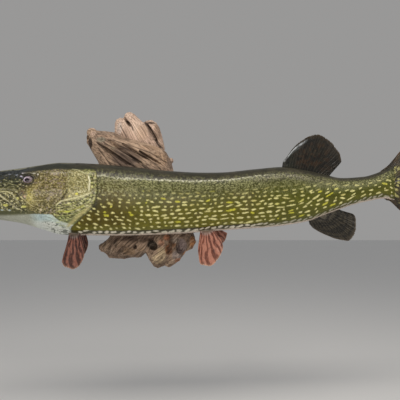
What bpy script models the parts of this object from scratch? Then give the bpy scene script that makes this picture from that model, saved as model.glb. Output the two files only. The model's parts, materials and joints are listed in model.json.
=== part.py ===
"""A mounted northern pike on a piece of driftwood, life size.

Metres, +Z up. The origin is the middle of the wood's flat sawn back, which lies in the plane
y = 0 against a wall. The fish's left side faces -Y and its snout points to -X.
"""

import math
import random

import bmesh
import bpy
from mathutils import Vector

# The gap that touching pieces keep.
GAP = 0.0003

# The fish seen from its left side, from the snout to the root of the tail fin: (x, z).
TOP_LINE = (
    (-0.3688, -0.0398), (-0.3658, -0.0290), (-0.3636, 0.0040), (-0.3611, 0.0135), (-0.3559, 0.0215),
    (-0.3340, 0.0316), (-0.3062, 0.0370), (-0.2412, 0.0468), (-0.2093, 0.0518), (-0.1597, 0.0586),
    (-0.0889, 0.0566), (0.0015, 0.0501), (0.0751, 0.0433), (0.1400, 0.0406), (0.1842, 0.0412),
    (0.2660, 0.0493), (0.3295, 0.0549), (0.3624, 0.0514), (0.4268, 0.0400), (0.4700, 0.0327),
    (0.5295, 0.0376), (0.5614, 0.0464), (0.5862, 0.0570), (0.6120, 0.0700),
)
BELLY_LINE = (
    (-0.3688, -0.0412), (-0.3649, -0.0495), (-0.3542, -0.0565), (-0.3385, -0.0612), (-0.2778, -0.0697),
    (-0.2507, -0.0745), (-0.2099, -0.0870), (-0.1712, -0.0981), (-0.1347, -0.1002), (-0.0517, -0.1010),
    (0.0898, -0.0967), (0.1973, -0.0887), (0.3150, -0.0802), (0.3899, -0.0681), (0.4212, -0.0566),
    (0.4681, -0.0399), (0.5010, -0.0291), (0.5347, -0.0209), (0.5882, -0.0127), (0.6120, -0.0180),
)
# Half the width of the body, the height of its widest level as a share of the section, how square
# the section is above and below that level, and the place of its middle in front of the wall.
HALF_WIDTH = (
    (-0.3688, 0.0020), (-0.3679, 0.0095), (-0.3658, 0.0165), (-0.3619, 0.0230), (-0.3542, 0.0300),
    (-0.3396, 0.0355), (-0.3095, 0.0395), (-0.2700, 0.0435), (-0.2440, 0.0470), (-0.2000, 0.0535),
    (-0.1500, 0.0585), (-0.1100, 0.0600), (-0.0600, 0.0580), (0.1000, 0.0540), (0.2000, 0.0500),
    (0.3000, 0.0465), (0.3600, 0.0420), (0.4200, 0.0340), (0.4700, 0.0265), (0.5200, 0.0210),
    (0.5600, 0.0170), (0.5900, 0.0115), (0.6120, 0.0045),
)
WIDEST_SHARE = (
    (-0.3688, 0.45), (-0.3000, 0.45), (-0.2400, 0.40), (-0.1500, 0.46), (0.0000, 0.50), (0.6000, 0.50),
)
CROWN_POWER = (
    (-0.3688, 2.6), (-0.3000, 2.5), (-0.2400, 2.3), (-0.1500, 2.3), (0.0000, 2.3), (0.6000, 2.0),
)
BELLY_POWER = ((-0.3688, 2.3), (-0.2400, 2.1), (-0.1500, 2.2), (0.0000, 2.3), (0.6000, 2.0))
MIDDLE_Y = (
    (-0.3688, -0.150), (-0.2440, -0.143), (-0.0942, -0.127), (0.1400, -0.112), (0.3730, -0.107),
    (0.4970, -0.094), (0.5960, -0.075), (0.7400, -0.042),
)
# How far the back leans towards the viewer, as y for each metre of height.
BACK_LEAN = ((-0.3688, 0.20), (0.2000, 0.18), (0.6000, 0.06), (0.7400, 0.04))

# How far apart the rings of the body's mesh stand, at x, and the points of a ring.
RING_STEP = (
    (-0.3688, 0.0012), (-0.3648, 0.0034), (-0.3510, 0.0080), (-0.1000, 0.0115), (0.0000, 0.0280),
    (0.3000, 0.0280), (0.4500, 0.0180), (0.6120, 0.0140),
)
RING_POINTS = 28

# The open mouth from the side: the rims of the two jaws and the slit behind its corner.
UPPER_RIM = (
    (-0.4200, 0.0001), (-0.3618, 0.0001), (-0.3359, -0.0029), (-0.3099, -0.0065), (-0.2934, -0.0127),
)
LOWER_RIM = (
    (-0.4200, -0.0315), (-0.3690, -0.0335), (-0.3359, -0.0318), (-0.3099, -0.0300), (-0.2922, -0.0285),
)
MOUTH_SLIT = ((-0.2828, -0.0248), (-0.2372, -0.0454), (-0.2210, -0.0615), (-0.2100, -0.1200))

# The rear edge of the gill opening from the side, which parts head from torso.
GILL_EDGE = (
    (-0.0960, 0.1000), (-0.0896, 0.0532), (-0.0799, 0.0306), (-0.0764, 0.0123), (-0.0757, -0.0127),
    (-0.0803, -0.0309), (-0.0903, -0.0456), (-0.1061, -0.0599), (-0.1282, -0.0774), (-0.1418, -0.0907),
    (-0.1480, -0.1300),
)
GILL_COVER_PROUD = 0.0025
GILL_COVER_THICK = 0.0040
# The gill cover's other edges, from its upper rear corner forwards and down to the throat.
GILL_COVER_FRONT = (
    (-0.0952, 0.0345), (-0.1168, 0.0355), (-0.1308, 0.0286), (-0.1353, 0.0114), (-0.1372, -0.0044),
    (-0.1471, -0.0172), (-0.1575, -0.0299), (-0.1694, -0.0417), (-0.1854, -0.0545), (-0.1924, -0.0655),
    (-0.1836, -0.0758), (-0.1684, -0.0835), (-0.1521, -0.0873),
)
# The bony plate at the top of the gill cover, and how far it stands up.
OPERCLE = (
    (-0.1297, 0.0266), (-0.1132, 0.0305), (-0.0963, 0.0241), (-0.0907, 0.0075), (-0.0901, -0.0117),
    (-0.1031, -0.0177), (-0.1198, -0.0236), (-0.1452, -0.0290), (-0.1411, -0.0176), (-0.1334, -0.0035),
    (-0.1330, 0.0132),
)
OPERCLE_RISE = 0.0012
# How deep such a plate's root lies under the skin.
PLATE_ROOT = 0.0018
# The bony rays under that plate: how many, the ends of the first and the step to the next.
BRANCHIOSTEGALS = 4
BRANCHIOSTEGAL_START = (-0.1585, -0.0390)
BRANCHIOSTEGAL_END = (-0.0846, -0.0182)
BRANCHIOSTEGAL_STEP = ((-0.0051, -0.0106), (-0.0098, -0.0142))
BRANCHIOSTEGAL_RADIUS = 0.0016
BRANCHIOSTEGAL_SAG = 0.0050
# How far the middle of a rod lies under the skin, as a share of its radius, and how thick the rod
# is at its ends, as a share of its middle.
ROD_SUNK = 0.3
ROD_END = 0.35

# How far apart the points of a curved outline on the head stand.
OUTLINE_STEP = 0.0100

# Where the fish starts, where the gill covers' shells start, where the head's shape ends behind the
# gill opening, where the torso ends and where the flesh of the tail ends.
SNOUT_X = -0.3688
COVER_START_X = -0.2500
HEAD_END_X = -0.0530
TORSO_START_X = -0.1700
TORSO_END_X = 0.3000
TAIL_END_X = 0.6120
# How far a cutter reaches past what it cuts.
PAST = 0.0100

# The eye: its middle from the side, its half sizes, and how far its middle lies under the skin.
EYE_AT = (-0.2219, 0.0153)
EYE_HALF = (0.0125, 0.0100, 0.0100)
EYE_SUNK = 0.0062
LID_RADIUS = 0.0018
LID_HALF = (0.0126, 0.0098)
LID_POINTS = 14
NOSTRILS = ((-0.2437, 0.0248), (-0.2498, 0.0253))
NOSTRIL_HALF = (0.0021, 0.0045, 0.0017)

# The lips, the teeth and the tongue. A lip runs from the corner of the mouth to the snout at these x,
# at the heights over its rim that lip_line takes. A row of teeth: how many on a side, where it
# starts and ends along x, how far in from the skin, and the heights that the teeth grow through.
LIP_RADIUS = 0.0020
UPPER_LIP = (-0.2922, -0.3620)
LOWER_LIP = (-0.2934, -0.3666)
UPPER_LIP_LEVELS = (0.0006, 0.0006)
LOWER_LIP_LEVELS = (-0.0008, -0.0060)
LOWER_TEETH = (7, -0.3594, -0.3028, 0.0050, (0.0040, 0.0085))
UPPER_TEETH = (9, -0.3547, -0.2981, 0.0040, (0.0022, 0.0030))
PALATE_TEETH = (6, -0.3453, -0.2981, 0.0160, (0.0055, 0.0035))
TOOTH_SLENDER = 0.20
TOOTH_ROOT = 0.0025
TOOTH_LEAN = 0.0008
# How unevenly the teeth stand, and the shares of the named height that they vary between.
TOOTH_SHIFT = 0.0010
TOOTH_HEIGHTS = (0.75, 1.10)
TOOTH_SEED = 11
TONGUE_AT = (-0.3064, -0.0400)
TONGUE_HALF = (0.0330, 0.0110, 0.0060)
# The hollow between the jaws and the one in the floor of the lower jaw: middles and half sizes.
THROAT_AT = (-0.2980, -0.0167)
THROAT_HALF = (0.0600, 0.0290, 0.0190)
FLOOR_AT = (-0.3150, -0.0335)
FLOOR_HALF = (0.0420, 0.0240, 0.0110)
# The long bone of the upper jaw that runs from the snout to below the eye.
MAXILLA = (
    (-0.3500, 0.0011), (-0.3123, -0.0041), (-0.2800, -0.0079), (-0.2607, -0.0088), (-0.2468, -0.0169),
    (-0.2356, -0.0263), (-0.2279, -0.0375), (-0.2308, -0.0467), (-0.2407, -0.0447), (-0.2577, -0.0334),
    (-0.2740, -0.0268), (-0.2885, -0.0183), (-0.3099, -0.0088), (-0.3359, -0.0057),
)
MAXILLA_RISE = 0.0011

# Each fin from the side: where its first and last ray leave the body, and the line of the ray
# tips between them, as (x, z).
DORSAL_ROOT = ((0.3283, 0.0458), (0.4356, 0.0300))
DORSAL_TIPS = (
    (0.3315, 0.0686), (0.3403, 0.0798), (0.3545, 0.0996), (0.3676, 0.1128), (0.3843, 0.1234),
    (0.4027, 0.1322), (0.4152, 0.1328), (0.4337, 0.1242), (0.4533, 0.1109), (0.4662, 0.0938),
    (0.4725, 0.0760), (0.4690, 0.0663), (0.4573, 0.0540),
)
ANAL_ROOT = ((0.3918, -0.0608), (0.4556, -0.0372))
ANAL_TIPS = (
    (0.3955, -0.0756), (0.4056, -0.0854), (0.4246, -0.0958), (0.4425, -0.1035), (0.4588, -0.1094),
    (0.4750, -0.1129), (0.4891, -0.1153), (0.4965, -0.1125), (0.5038, -0.1036), (0.5081, -0.0920),
    (0.5092, -0.0772), (0.5092, -0.0626), (0.5060, -0.0548), (0.4987, -0.0499), (0.4884, -0.0477),
)
TAIL_UPPER_ROOT = ((0.5680, 0.0400), (0.6080, 0.0262))
TAIL_UPPER_TIPS = (
    (0.5760, 0.0545), (0.5900, 0.0630), (0.6010, 0.0720), (0.6155, 0.0880), (0.6336, 0.1090),
    (0.6680, 0.1450), (0.7050, 0.1740), (0.7330, 0.1900), (0.7360, 0.1790), (0.7280, 0.1490),
    (0.7130, 0.1140), (0.6940, 0.0790), (0.6760, 0.0530),
)
TAIL_LOWER_ROOT = ((0.6080, 0.0256), (0.5720, -0.0060))
TAIL_LOWER_TIPS = (
    (0.6755, 0.0500), (0.6900, 0.0210), (0.7060, -0.0100), (0.7190, -0.0430), (0.7260, -0.0760),
    (0.7230, -0.0870), (0.7000, -0.0800), (0.6650, -0.0640), (0.6400, -0.0500), (0.6258, -0.0398),
    (0.6150, -0.0300), (0.6040, -0.0205), (0.5900, -0.0170),
)
PECTORAL_ROOT = ((-0.1483, -0.0946), (-0.1262, -0.0946))
PECTORAL_TIPS = (
    (-0.1513, -0.1174), (-0.1550, -0.1338), (-0.1576, -0.1475), (-0.1579, -0.1595), (-0.1521, -0.1684),
    (-0.1429, -0.1724), (-0.1337, -0.1742), (-0.1245, -0.1703), (-0.1181, -0.1644), (-0.1141, -0.1555),
    (-0.1118, -0.1440), (-0.1133, -0.1316), (-0.1165, -0.1187),
)
# The far pectoral fin shows less of itself behind the near one.
PECTORAL_FAR_ROOT = ((-0.1495, -0.0933), (-0.1285, -0.0933))
PECTORAL_FAR_TIPS = (
    (-0.1570, -0.1142), (-0.1574, -0.1306), (-0.1518, -0.1446), (-0.1414, -0.1505), (-0.1308, -0.1458),
    (-0.1247, -0.1341), (-0.1221, -0.1212), (-0.1228, -0.1096),
)
PELVIC_ROOT = ((0.1411, -0.0866), (0.1672, -0.0866))
PELVIC_TIPS = (
    (0.1368, -0.1176), (0.1355, -0.1332), (0.1371, -0.1486), (0.1400, -0.1632), (0.1471, -0.1677),
    (0.1573, -0.1697), (0.1675, -0.1671), (0.1769, -0.1586), (0.1846, -0.1486), (0.1903, -0.1371),
    (0.1921, -0.1254), (0.1885, -0.1125),
)
# The far pelvic fin is swept back against the belly.
PELVIC_FAR_ROOT = ((0.1519, -0.0838), (0.1779, -0.0826))
PELVIC_FAR_TIPS = (
    (0.1542, -0.1121), (0.1614, -0.1311), (0.1733, -0.1382), (0.1852, -0.1311), (0.1946, -0.1204),
    (0.2017, -0.1086), (0.2048, -0.0956),
)
FIN_RAYS = {"dorsal": 16, "anal": 14, "tail": 11, "pectoral": 9, "pelvic": 9}
FIN_ROOT_THICK = 0.0034
FIN_TIP_THICK = 0.0010
# The share of that thickness that a fin's first and last rays have, how fast it thins, how high a
# ray stands up at its root, and the share of that height that is lost at its tip.
FIN_EDGE_SHARE = 0.8
FIN_THINNING = 0.7
RAY_RISE = 0.0007
RAY_LOSS = 0.6
# How far from the fish's middle plane a paired fin starts, and how far it spreads for each metre down.
PECTORAL_AT = (-0.1350, -0.0900)
PECTORAL_SPREAD = (0.022, 0.16)
PELVIC_AT = (0.1520, -0.0850)
PELVIC_SPREAD = (0.018, 0.14)

# The wood's furrows and cracks: the two ends (x, z), half the width, and the y they reach between.
FURROWS = (
    ((-0.1180, 0.1290), (-0.0250, 0.0620), 0.0030, -0.105, -0.080),
    ((-0.0980, 0.1170), (-0.0120, 0.0570), 0.0024, -0.110, -0.086),
    ((-0.0900, 0.1330), (0.0100, 0.0620), 0.0032, -0.108, -0.084),
    ((-0.0560, 0.1240), (0.0270, 0.0720), 0.0026, -0.108, -0.080),
    ((-0.0300, 0.1140), (0.0520, 0.0660), 0.0028, -0.100, -0.070),
    ((-0.0619, 0.2098), (-0.0338, 0.1699), 0.0026, -0.080, -0.016),
    ((-0.0113, 0.2067), (0.0347, 0.1300), 0.0036, -0.070, -0.012),
)
# The wood's hollows and its lumps: the middle and the half sizes.
HOLLOWS = (
    ((-0.1409, -0.0700, 0.1376), (0.0090, 0.0200, 0.0080)),
    ((0.0255, -0.0860, -0.1262), (0.0145, 0.0260, 0.0110)),
    ((-0.0148, -0.0820, -0.1290), (0.0055, 0.0160, 0.0050)),
    ((0.0945, -0.0660, -0.1290), (0.0130, 0.0300, 0.0200)),
)
LUMPS = (
    ((-0.1306, -0.0560, 0.1551), (0.0140, 0.0170, 0.0125)),
    ((0.0659, -0.0420, 0.0867), (0.0085, 0.0120, 0.0080)),
    ((-0.0956, -0.0480, -0.1304), (0.0150, 0.0180, 0.0130)),
    ((-0.0450, -0.0600, -0.1350), (0.0260, 0.0260, 0.0190)),
)

# The driftwood from the side, piece by piece, each an outline of (x, z).
CORE_OUTLINE = (
    (-0.0950, 0.0900), (-0.0400, 0.1150), (0.0300, 0.1000), (0.0700, 0.0500), (0.0850, -0.0200),
    (0.0950, -0.1000), (0.0500, -0.1200), (-0.0500, -0.1250), (-0.0800, -0.1000), (-0.0900, -0.0200),
)
CHUNK_OUTLINE = (
    (-0.1360, 0.1644), (-0.1214, 0.1611), (-0.0975, 0.1596), (-0.0750, 0.1563), (-0.0491, 0.1446),
    (-0.0249, 0.1367), (0.0073, 0.1301), (0.0475, 0.1153), (0.0567, 0.1068), (0.0659, 0.0894),
    (0.0716, 0.0669), (0.0793, 0.0440), (0.0577, 0.0080), (-0.0041, 0.0028), (-0.0761, 0.0234),
    (-0.1049, 0.0605), (-0.1128, 0.0772), (-0.1246, 0.0960), (-0.1361, 0.1153), (-0.1445, 0.1283),
    (-0.1460, 0.1444), (-0.1406, 0.1563),
)
PLATE_OUTLINE = (
    (-0.0811, 0.1635), (-0.0817, 0.1870), (-0.0785, 0.1971), (-0.0670, 0.2032), (-0.0581, 0.2011),
    (-0.0557, 0.2125), (-0.0491, 0.2176), (-0.0392, 0.2184), (-0.0274, 0.2107), (-0.0140, 0.1971),
    (0.0029, 0.1820), (0.0194, 0.1600), (0.0328, 0.1347), (0.0418, 0.1045), (0.0275, 0.0636),
    (-0.0543, 0.0840),
)
FLAKE_OUTLINE = (
    (-0.0116, 0.1951), (0.0003, 0.2007), (0.0134, 0.2023), (0.0253, 0.1955), (0.0340, 0.1817),
    (0.0393, 0.1645), (0.0443, 0.1457), (0.0484, 0.1238), (0.0382, 0.0933), (0.0077, 0.1137),
    (0.0057, 0.1544),
)
KNOBS_OUTLINE = (
    (-0.1092, -0.1303), (-0.0985, -0.1164), (-0.0835, -0.1052), (-0.0723, -0.0798), (0.0288, -0.0697),
    (0.0440, -0.1101), (0.0237, -0.1405), (0.0021, -0.1472), (-0.0056, -0.1557), (-0.0261, -0.1567),
    (-0.0446, -0.1606), (-0.0664, -0.1582), (-0.0823, -0.1567), (-0.0884, -0.1490), (-0.1028, -0.1380),
)
LOBE_OUTLINE = (
    (0.0065, -0.1455), (0.0115, -0.1582), (0.0195, -0.1674), (0.0242, -0.1768), (0.0367, -0.1827),
    (0.0505, -0.1780), (0.0632, -0.1607), (0.0753, -0.1354), (0.0793, -0.1051), (0.0692, -0.0798),
    (0.0288, -0.0798),
)
ARCH_OUTLINE = (
    (0.0459, -0.1717), (0.0620, -0.1813), (0.0759, -0.1760), (0.0888, -0.1652), (0.1046, -0.1432),
    (0.1217, -0.1359), (0.1311, -0.1171), (0.1226, -0.0898), (0.0888, -0.0489), (0.0479, -0.0591),
    (0.0479, -0.1103),
)


def along(profile, x):
    """The smooth value at x of a profile of (x, value) pairs, which is level beyond its ends."""
    if x <= profile[0][0]:
        return profile[0][1]
    if x >= profile[-1][0]:
        return profile[-1][1]
    last = len(profile) - 1
    steps = list(zip(profile, profile[1:]))
    slopes = [(after[1] - before[1]) / (after[0] - before[0]) for before, after in steps]

    def tangent(i):
        if i == 0 or i == last:
            return slopes[min(i, last - 1)]
        before, after = slopes[i - 1], slopes[i]
        if before * after <= 0.0:
            return 0.0
        return 2.0 * before * after / (before + after)

    i = next(k for k in range(last) if x <= profile[k + 1][0])
    width = profile[i + 1][0] - profile[i][0]
    t = (x - profile[i][0]) / width
    return (
        (1 + 2 * t) * (1 - t) ** 2 * profile[i][1]
        + t * (1 - t) ** 2 * width * tangent(i)
        + t * t * (3 - 2 * t) * profile[i + 1][1]
        + t * t * (t - 1) * width * tangent(i + 1)
    )


def smooth(low, high, value):
    """0 below low, 1 above high and an even ease between."""
    t = min(max((value - low) / (high - low), 0.0), 1.0)
    return t * t * (3.0 - 2.0 * t)


def bump(x, z, middle, half, height):
    """A soft round rise of the given half sizes."""
    far = ((x - middle[0]) / half[0]) ** 2 + ((z - middle[1]) / half[1]) ** 2
    return height * math.exp(-far)


def curved(points, step, closed=True):
    """A line of the side view, curved smoothly through its points at an even step."""
    count = len(points)
    line = []
    for i in range(count if closed else count - 1):
        places = [i + k for k in (-1, 0, 1, 2)]
        if closed:
            places = [k % count for k in places]
        else:
            places = [min(max(k, 0), count - 1) for k in places]
        a, b, c, d = (Vector(points[k]) for k in places)
        pieces = max(1, round((c - b).length / step))
        for k in range(pieces):
            t = k / pieces
            bend = (2.0 * a - 5.0 * b + 4.0 * c - d) * t * t + (3.0 * b - a - 3.0 * c + d) * t ** 3
            line.append(tuple(b + 0.5 * ((c - a) * t + bend)))
    if not closed:
        line.append(tuple(points[-1]))
    return line


def signed_power(value, power):
    return math.copysign(abs(value) ** power, value)


def middle_y(x, z):
    """The y of the fish's own middle plane, which leans and bends, at a point of the side view."""
    level = 0.5 * (along(TOP_LINE, x) + along(BELLY_LINE, x))
    return along(MIDDLE_Y, x) - (z - level) * along(BACK_LEAN, x)


def head_relief(x, z):
    """How far the side of the head stands out from the plain section, at a point of the side view."""
    rise = bump(x, z, (-0.2215, 0.0330), (0.0260, 0.0060), 0.0035)
    rise -= bump(x, z, EYE_AT, (0.0200, 0.0125), 0.0030)
    rise -= bump(x, z, (-0.2650, 0.0150), (0.0250, 0.0090), 0.0020)
    rise += bump(x, z, (-0.1820, -0.0070), (0.0270, 0.0220), 0.0020)
    return rise


def body_point(x, turn, grow=0.0, proud=0.0, relief=True):
    """A point of the fish's skin: turn goes round the section from the back by the left side."""
    top = along(TOP_LINE, x) + grow
    bottom = along(BELLY_LINE, x) - grow
    widest = bottom + (top - bottom) * along(WIDEST_SHARE, x)
    up, out = math.cos(turn), math.sin(turn)
    power = 2.0 / along(CROWN_POWER if up > 0.0 else BELLY_POWER, x)
    z = widest + (top - widest if up > 0.0 else widest - bottom) * signed_power(up, power)
    half = along(HALF_WIDTH, x) + grow
    if relief:
        half += head_relief(x, z)
    half += proud * smooth(-0.17, -0.10, x)
    return Vector((x, middle_y(x, z) - half * signed_power(out, power), z))


def surface_y(x, z, sign, proud=0.0):
    """The y of the skin at a point of the side view. The sign is -1 on the left side, 1 on the right."""
    low, high = 0.0, math.pi
    for _ in range(24):
        turn = 0.5 * (low + high)
        if body_point(x, turn).z > z:
            low = turn
        else:
            high = turn
    return body_point(x, -sign * turn, proud=proud).y


def ring_places(start, end):
    """The x of each ring between two ends. Every length of the body has its rings at the same places."""
    places = [start]
    x = SNOUT_X
    while x < end - 0.2 * along(RING_STEP, x):
        if x > start + 0.2 * along(RING_STEP, x):
            places.append(x)
        x += along(RING_STEP, x)
    return [*places, end]


def add_object(name, mesh, place="parts"):
    """A new object in the collection of the parts or of the cutters."""
    item = bpy.data.objects.new(name, mesh)
    bpy.data.collections["mounted_pike" if place == "parts" else "cutters"].objects.link(item)
    if place != "parts":
        item.hide_render = True
        item.display_type = "WIRE"
    return item


def mesh_object(name, shape, place="parts"):
    """An object of a closed bmesh, its faces turned outwards."""
    bmesh.ops.recalc_face_normals(shape, faces=shape.faces[:])
    mesh = bpy.data.meshes.new(name)
    shape.to_mesh(mesh)
    shape.free()
    return add_object(name, mesh, place)


def loft(name, rings, place="parts"):
    """A closed solid through rings of equally many points, with a flat cap at each end."""
    shape = bmesh.new()
    rows = [[shape.verts.new(point) for point in ring] for ring in rings]
    count = len(rows[0])
    for near, far in zip(rows, rows[1:]):
        for k in range(count):
            shape.faces.new((near[k], near[(k + 1) % count], far[(k + 1) % count], far[k]))
    shape.faces.new(rows[0])
    shape.faces.new(rows[-1])
    return mesh_object(name, shape, place)


def body_loft(name, start, end, grow=0.0, proud=0.0, place="parts", relief=True):
    """A length of the fish's body."""
    turns = [2.0 * math.pi * k / RING_POINTS for k in range(RING_POINTS)]
    rings = []
    for x in ring_places(start, end):
        rings.append([body_point(x, turn, grow, proud, relief) for turn in turns])
    return loft(name, rings, place)


def prism(name, outline, y_low, y_high):
    """A cutter: an outline of the side view drawn out along Y."""
    shape = bmesh.new()
    near = [shape.verts.new((x, y_low, z)) for x, z in outline]
    far = [shape.verts.new((x, y_high, z)) for x, z in outline]
    count = len(outline)
    for k in range(count):
        shape.faces.new((near[k], near[(k + 1) % count], far[(k + 1) % count], far[k]))
    shape.faces.new(near)
    shape.faces.new(far)
    return mesh_object(name, shape, "cutters")


def log(name, start, end, half_width, y_low, y_high):
    """A cutter: a long lens between two points of the side view."""
    start, end = Vector(start), Vector(end)
    middle = 0.5 * (start + end)
    reach = 0.5 * (end - start)
    across = Vector((-reach.y, reach.x)).normalized() * half_width
    shape = bmesh.new()
    bmesh.ops.create_uvsphere(shape, u_segments=6, v_segments=6, radius=1.0)
    for vert in shape.verts:
        at = middle + reach * vert.co.z + across * vert.co.x
        vert.co = (at.x, 0.5 * (y_low + y_high) + 0.5 * (y_high - y_low) * vert.co.y, at.y)
    return mesh_object(name, shape, "cutters")


def tube(name, line, radius, axis, sides=5, closed=False):
    """A round rod along 3-D points, thinner towards its ends, or a ring where it is closed."""
    last = len(line) - 1
    rings = []
    for i, point in enumerate(line):
        if closed:
            ahead = (line[(i + 1) % len(line)] - line[i - 1]).normalized()
            thick = radius
        else:
            ahead = (line[min(i + 1, last)] - line[max(i - 1, 0)]).normalized()
            thick = radius * (ROD_END + (1.0 - ROD_END) * math.sin(math.pi * i / last) ** 0.5)
        side = ahead.cross(axis).normalized()
        up = side.cross(ahead)
        turns = [2.0 * math.pi * k / sides for k in range(sides)]
        rings.append([point + thick * (math.cos(turn) * side + math.sin(turn) * up) for turn in turns])
    if not closed:
        return loft(name, rings)
    shape = bmesh.new()
    rows = [[shape.verts.new(point) for point in ring] for ring in rings]
    for near, far in zip(rows, [*rows[1:], rows[0]]):
        for k in range(sides):
            shape.faces.new((near[k], near[(k + 1) % sides], far[(k + 1) % sides], far[k]))
    return mesh_object(name, shape)


def tooth(name, root, height, lean):
    """A cone from under the gum at the root to its tip, up or down as the height's sign says."""
    shape = bmesh.new()
    tip = Vector(root) + Vector((lean, 0.0, height))
    radius = TOOTH_SLENDER * abs(height)
    corners = 4
    ring = []
    for k in range(corners):
        turn = 2.0 * math.pi * (k + 0.5) / corners
        away = Vector((math.cos(turn), math.sin(turn), 0.0))
        ring.append(shape.verts.new(Vector(root) + radius * away))
    point = shape.verts.new(tip)
    for k in range(corners):
        shape.faces.new((ring[k], ring[(k + 1) % corners], point))
    shape.faces.new(ring)
    return mesh_object(name, shape)


def ball(name, middle, half, place="parts", segments=20):
    """A ball, an egg or a lens: half sizes along x, y and z."""
    shape = bmesh.new()
    bmesh.ops.create_uvsphere(shape, u_segments=segments, v_segments=segments // 2, radius=1.0)
    for vert in shape.verts:
        vert.co = Vector(middle) + Vector(c * h for c, h in zip(vert.co, half))
    return mesh_object(name, shape, place)


def apply_modifiers(item):
    """The object keeps the mesh that its modifiers make."""
    graph = bpy.context.evaluated_depsgraph_get()
    graph.update()
    made = bpy.data.meshes.new_from_object(item.evaluated_get(graph))
    item.modifiers.clear()
    item.data = made


def boolean(item, cutter, operation, solver="EXACT"):
    """One Boolean with a cutter, applied."""
    step = item.modifiers.new(operation.lower(), "BOOLEAN")
    step.operation = operation
    step.solver = solver
    step.object = cutter
    apply_modifiers(item)


def join(item, pieces, solver="EXACT"):
    """The pieces become one closed body with the item."""
    group = bpy.data.collections.new("joined")
    for piece in pieces:
        group.objects.link(piece)
    step = item.modifiers.new("union", "BOOLEAN")
    step.operation = "UNION"
    step.solver = solver
    step.operand_type = "COLLECTION"
    step.collection = group
    apply_modifiers(item)
    for piece in pieces:
        bpy.data.objects.remove(piece)
    bpy.data.collections.remove(group)


def keep_largest(item):
    """Only the largest closed surface of the object stays."""
    shape = bmesh.new()
    shape.from_mesh(item.data)
    left = set(shape.verts)
    islands = []
    while left:
        front = [left.pop()]
        island = set(front)
        while front:
            vert = front.pop()
            for edge in vert.link_edges:
                other = edge.other_vert(vert)
                if other in left:
                    left.remove(other)
                    island.add(other)
                    front.append(other)
        islands.append(island)

    def size(island):
        faces = {face for vert in island for face in vert.link_faces}
        return abs(sum(face.normal.dot(face.calc_center_median()) * face.calc_area() for face in faces))

    islands.sort(key=size)
    bmesh.ops.delete(shape, geom=[vert for island in islands[:-1] for vert in island], context="VERTS")
    shape.to_mesh(item.data)
    shape.free()


def material(name, colour, roughness, metallic=0.0):
    made = bpy.data.materials.new(name)
    made.use_nodes = True
    shader = made.node_tree.nodes["Principled BSDF"]
    shader.inputs["Base Color"].default_value = (*colour, 1.0)
    shader.inputs["Roughness"].default_value = roughness
    shader.inputs["Metallic"].default_value = metallic
    return made


def finish(item, coat, sharp_degrees=50.0):
    """The object's last steps: one closed surface, its material and smooth shading."""
    keep_largest(item)
    item.data.materials.clear()
    item.data.materials.append(coat)
    item.data.shade_smooth()
    item.data.set_sharp_from_angle(angle=math.radians(sharp_degrees))
    item.data.name = item.name


def on_skin(x, z, sign, inward=0.0, proud=0.0):
    """The point of the head's skin at (x, z) of the side view, on the side of the sign."""
    return Vector((x, surface_y(x, z, sign, proud) - sign * inward, z))


def lip_line(rim, places, lift, level):
    """The line of a lip round the front of a jaw, from one corner of the mouth to the other.

    The lift is the lip's height over the rim, and the level is how far over the rim the skin's
    width is taken.
    """
    lines = []
    for sign in (-1.0, 1.0):
        line = []
        for x in places:
            rim_z = along(rim, x)
            y = surface_y(x, rim_z + level, sign) - sign * ROD_SUNK * LIP_RADIUS
            line.append(Vector((x, y, rim_z + lift)))
        lines.append(line)
    return lines[0] + lines[1][::-1]


def teeth_row(name, jaw_rim, row, sign, upward, draw):
    """One row of teeth on one side of a jaw."""
    count, start, end, inset, heights = row
    teeth = []
    for k in range(count):
        share = k / (count - 1)
        x = start + (end - start) * share + draw.uniform(-TOOTH_SHIFT, TOOTH_SHIFT)
        rim = along(jaw_rim, x)
        height = heights[0] + (heights[1] - heights[0]) * math.sin(0.5 * math.pi * share)
        height *= draw.uniform(*TOOTH_HEIGHTS)
        y = surface_y(x, rim, sign) - sign * inset
        root = (x, y, rim - upward * TOOTH_ROOT)
        teeth.append(tooth(f"{name}_{k}", root, upward * (height + TOOTH_ROOT), TOOTH_LEAN))
    return teeth


def skin_plate(name, outline, side_low, side_high, grow):
    """A thin plate that lies on the skin within an outline of the side view, its root sunk in."""
    low = min(x for x, _ in outline) - PAST
    high = max(x for x, _ in outline) + PAST
    plate = body_loft(name, low, high, grow=grow, proud=GILL_COVER_PROUD)
    core = body_loft(name + "_core", low - PAST, high + PAST, -PLATE_ROOT, GILL_COVER_PROUD, "cutters")
    smooth_line = curved(outline, OUTLINE_STEP)
    boolean(plate, prism(name + "_outline", smooth_line, side_low, side_high), "INTERSECT")
    boolean(plate, core, "DIFFERENCE")
    return plate


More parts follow.
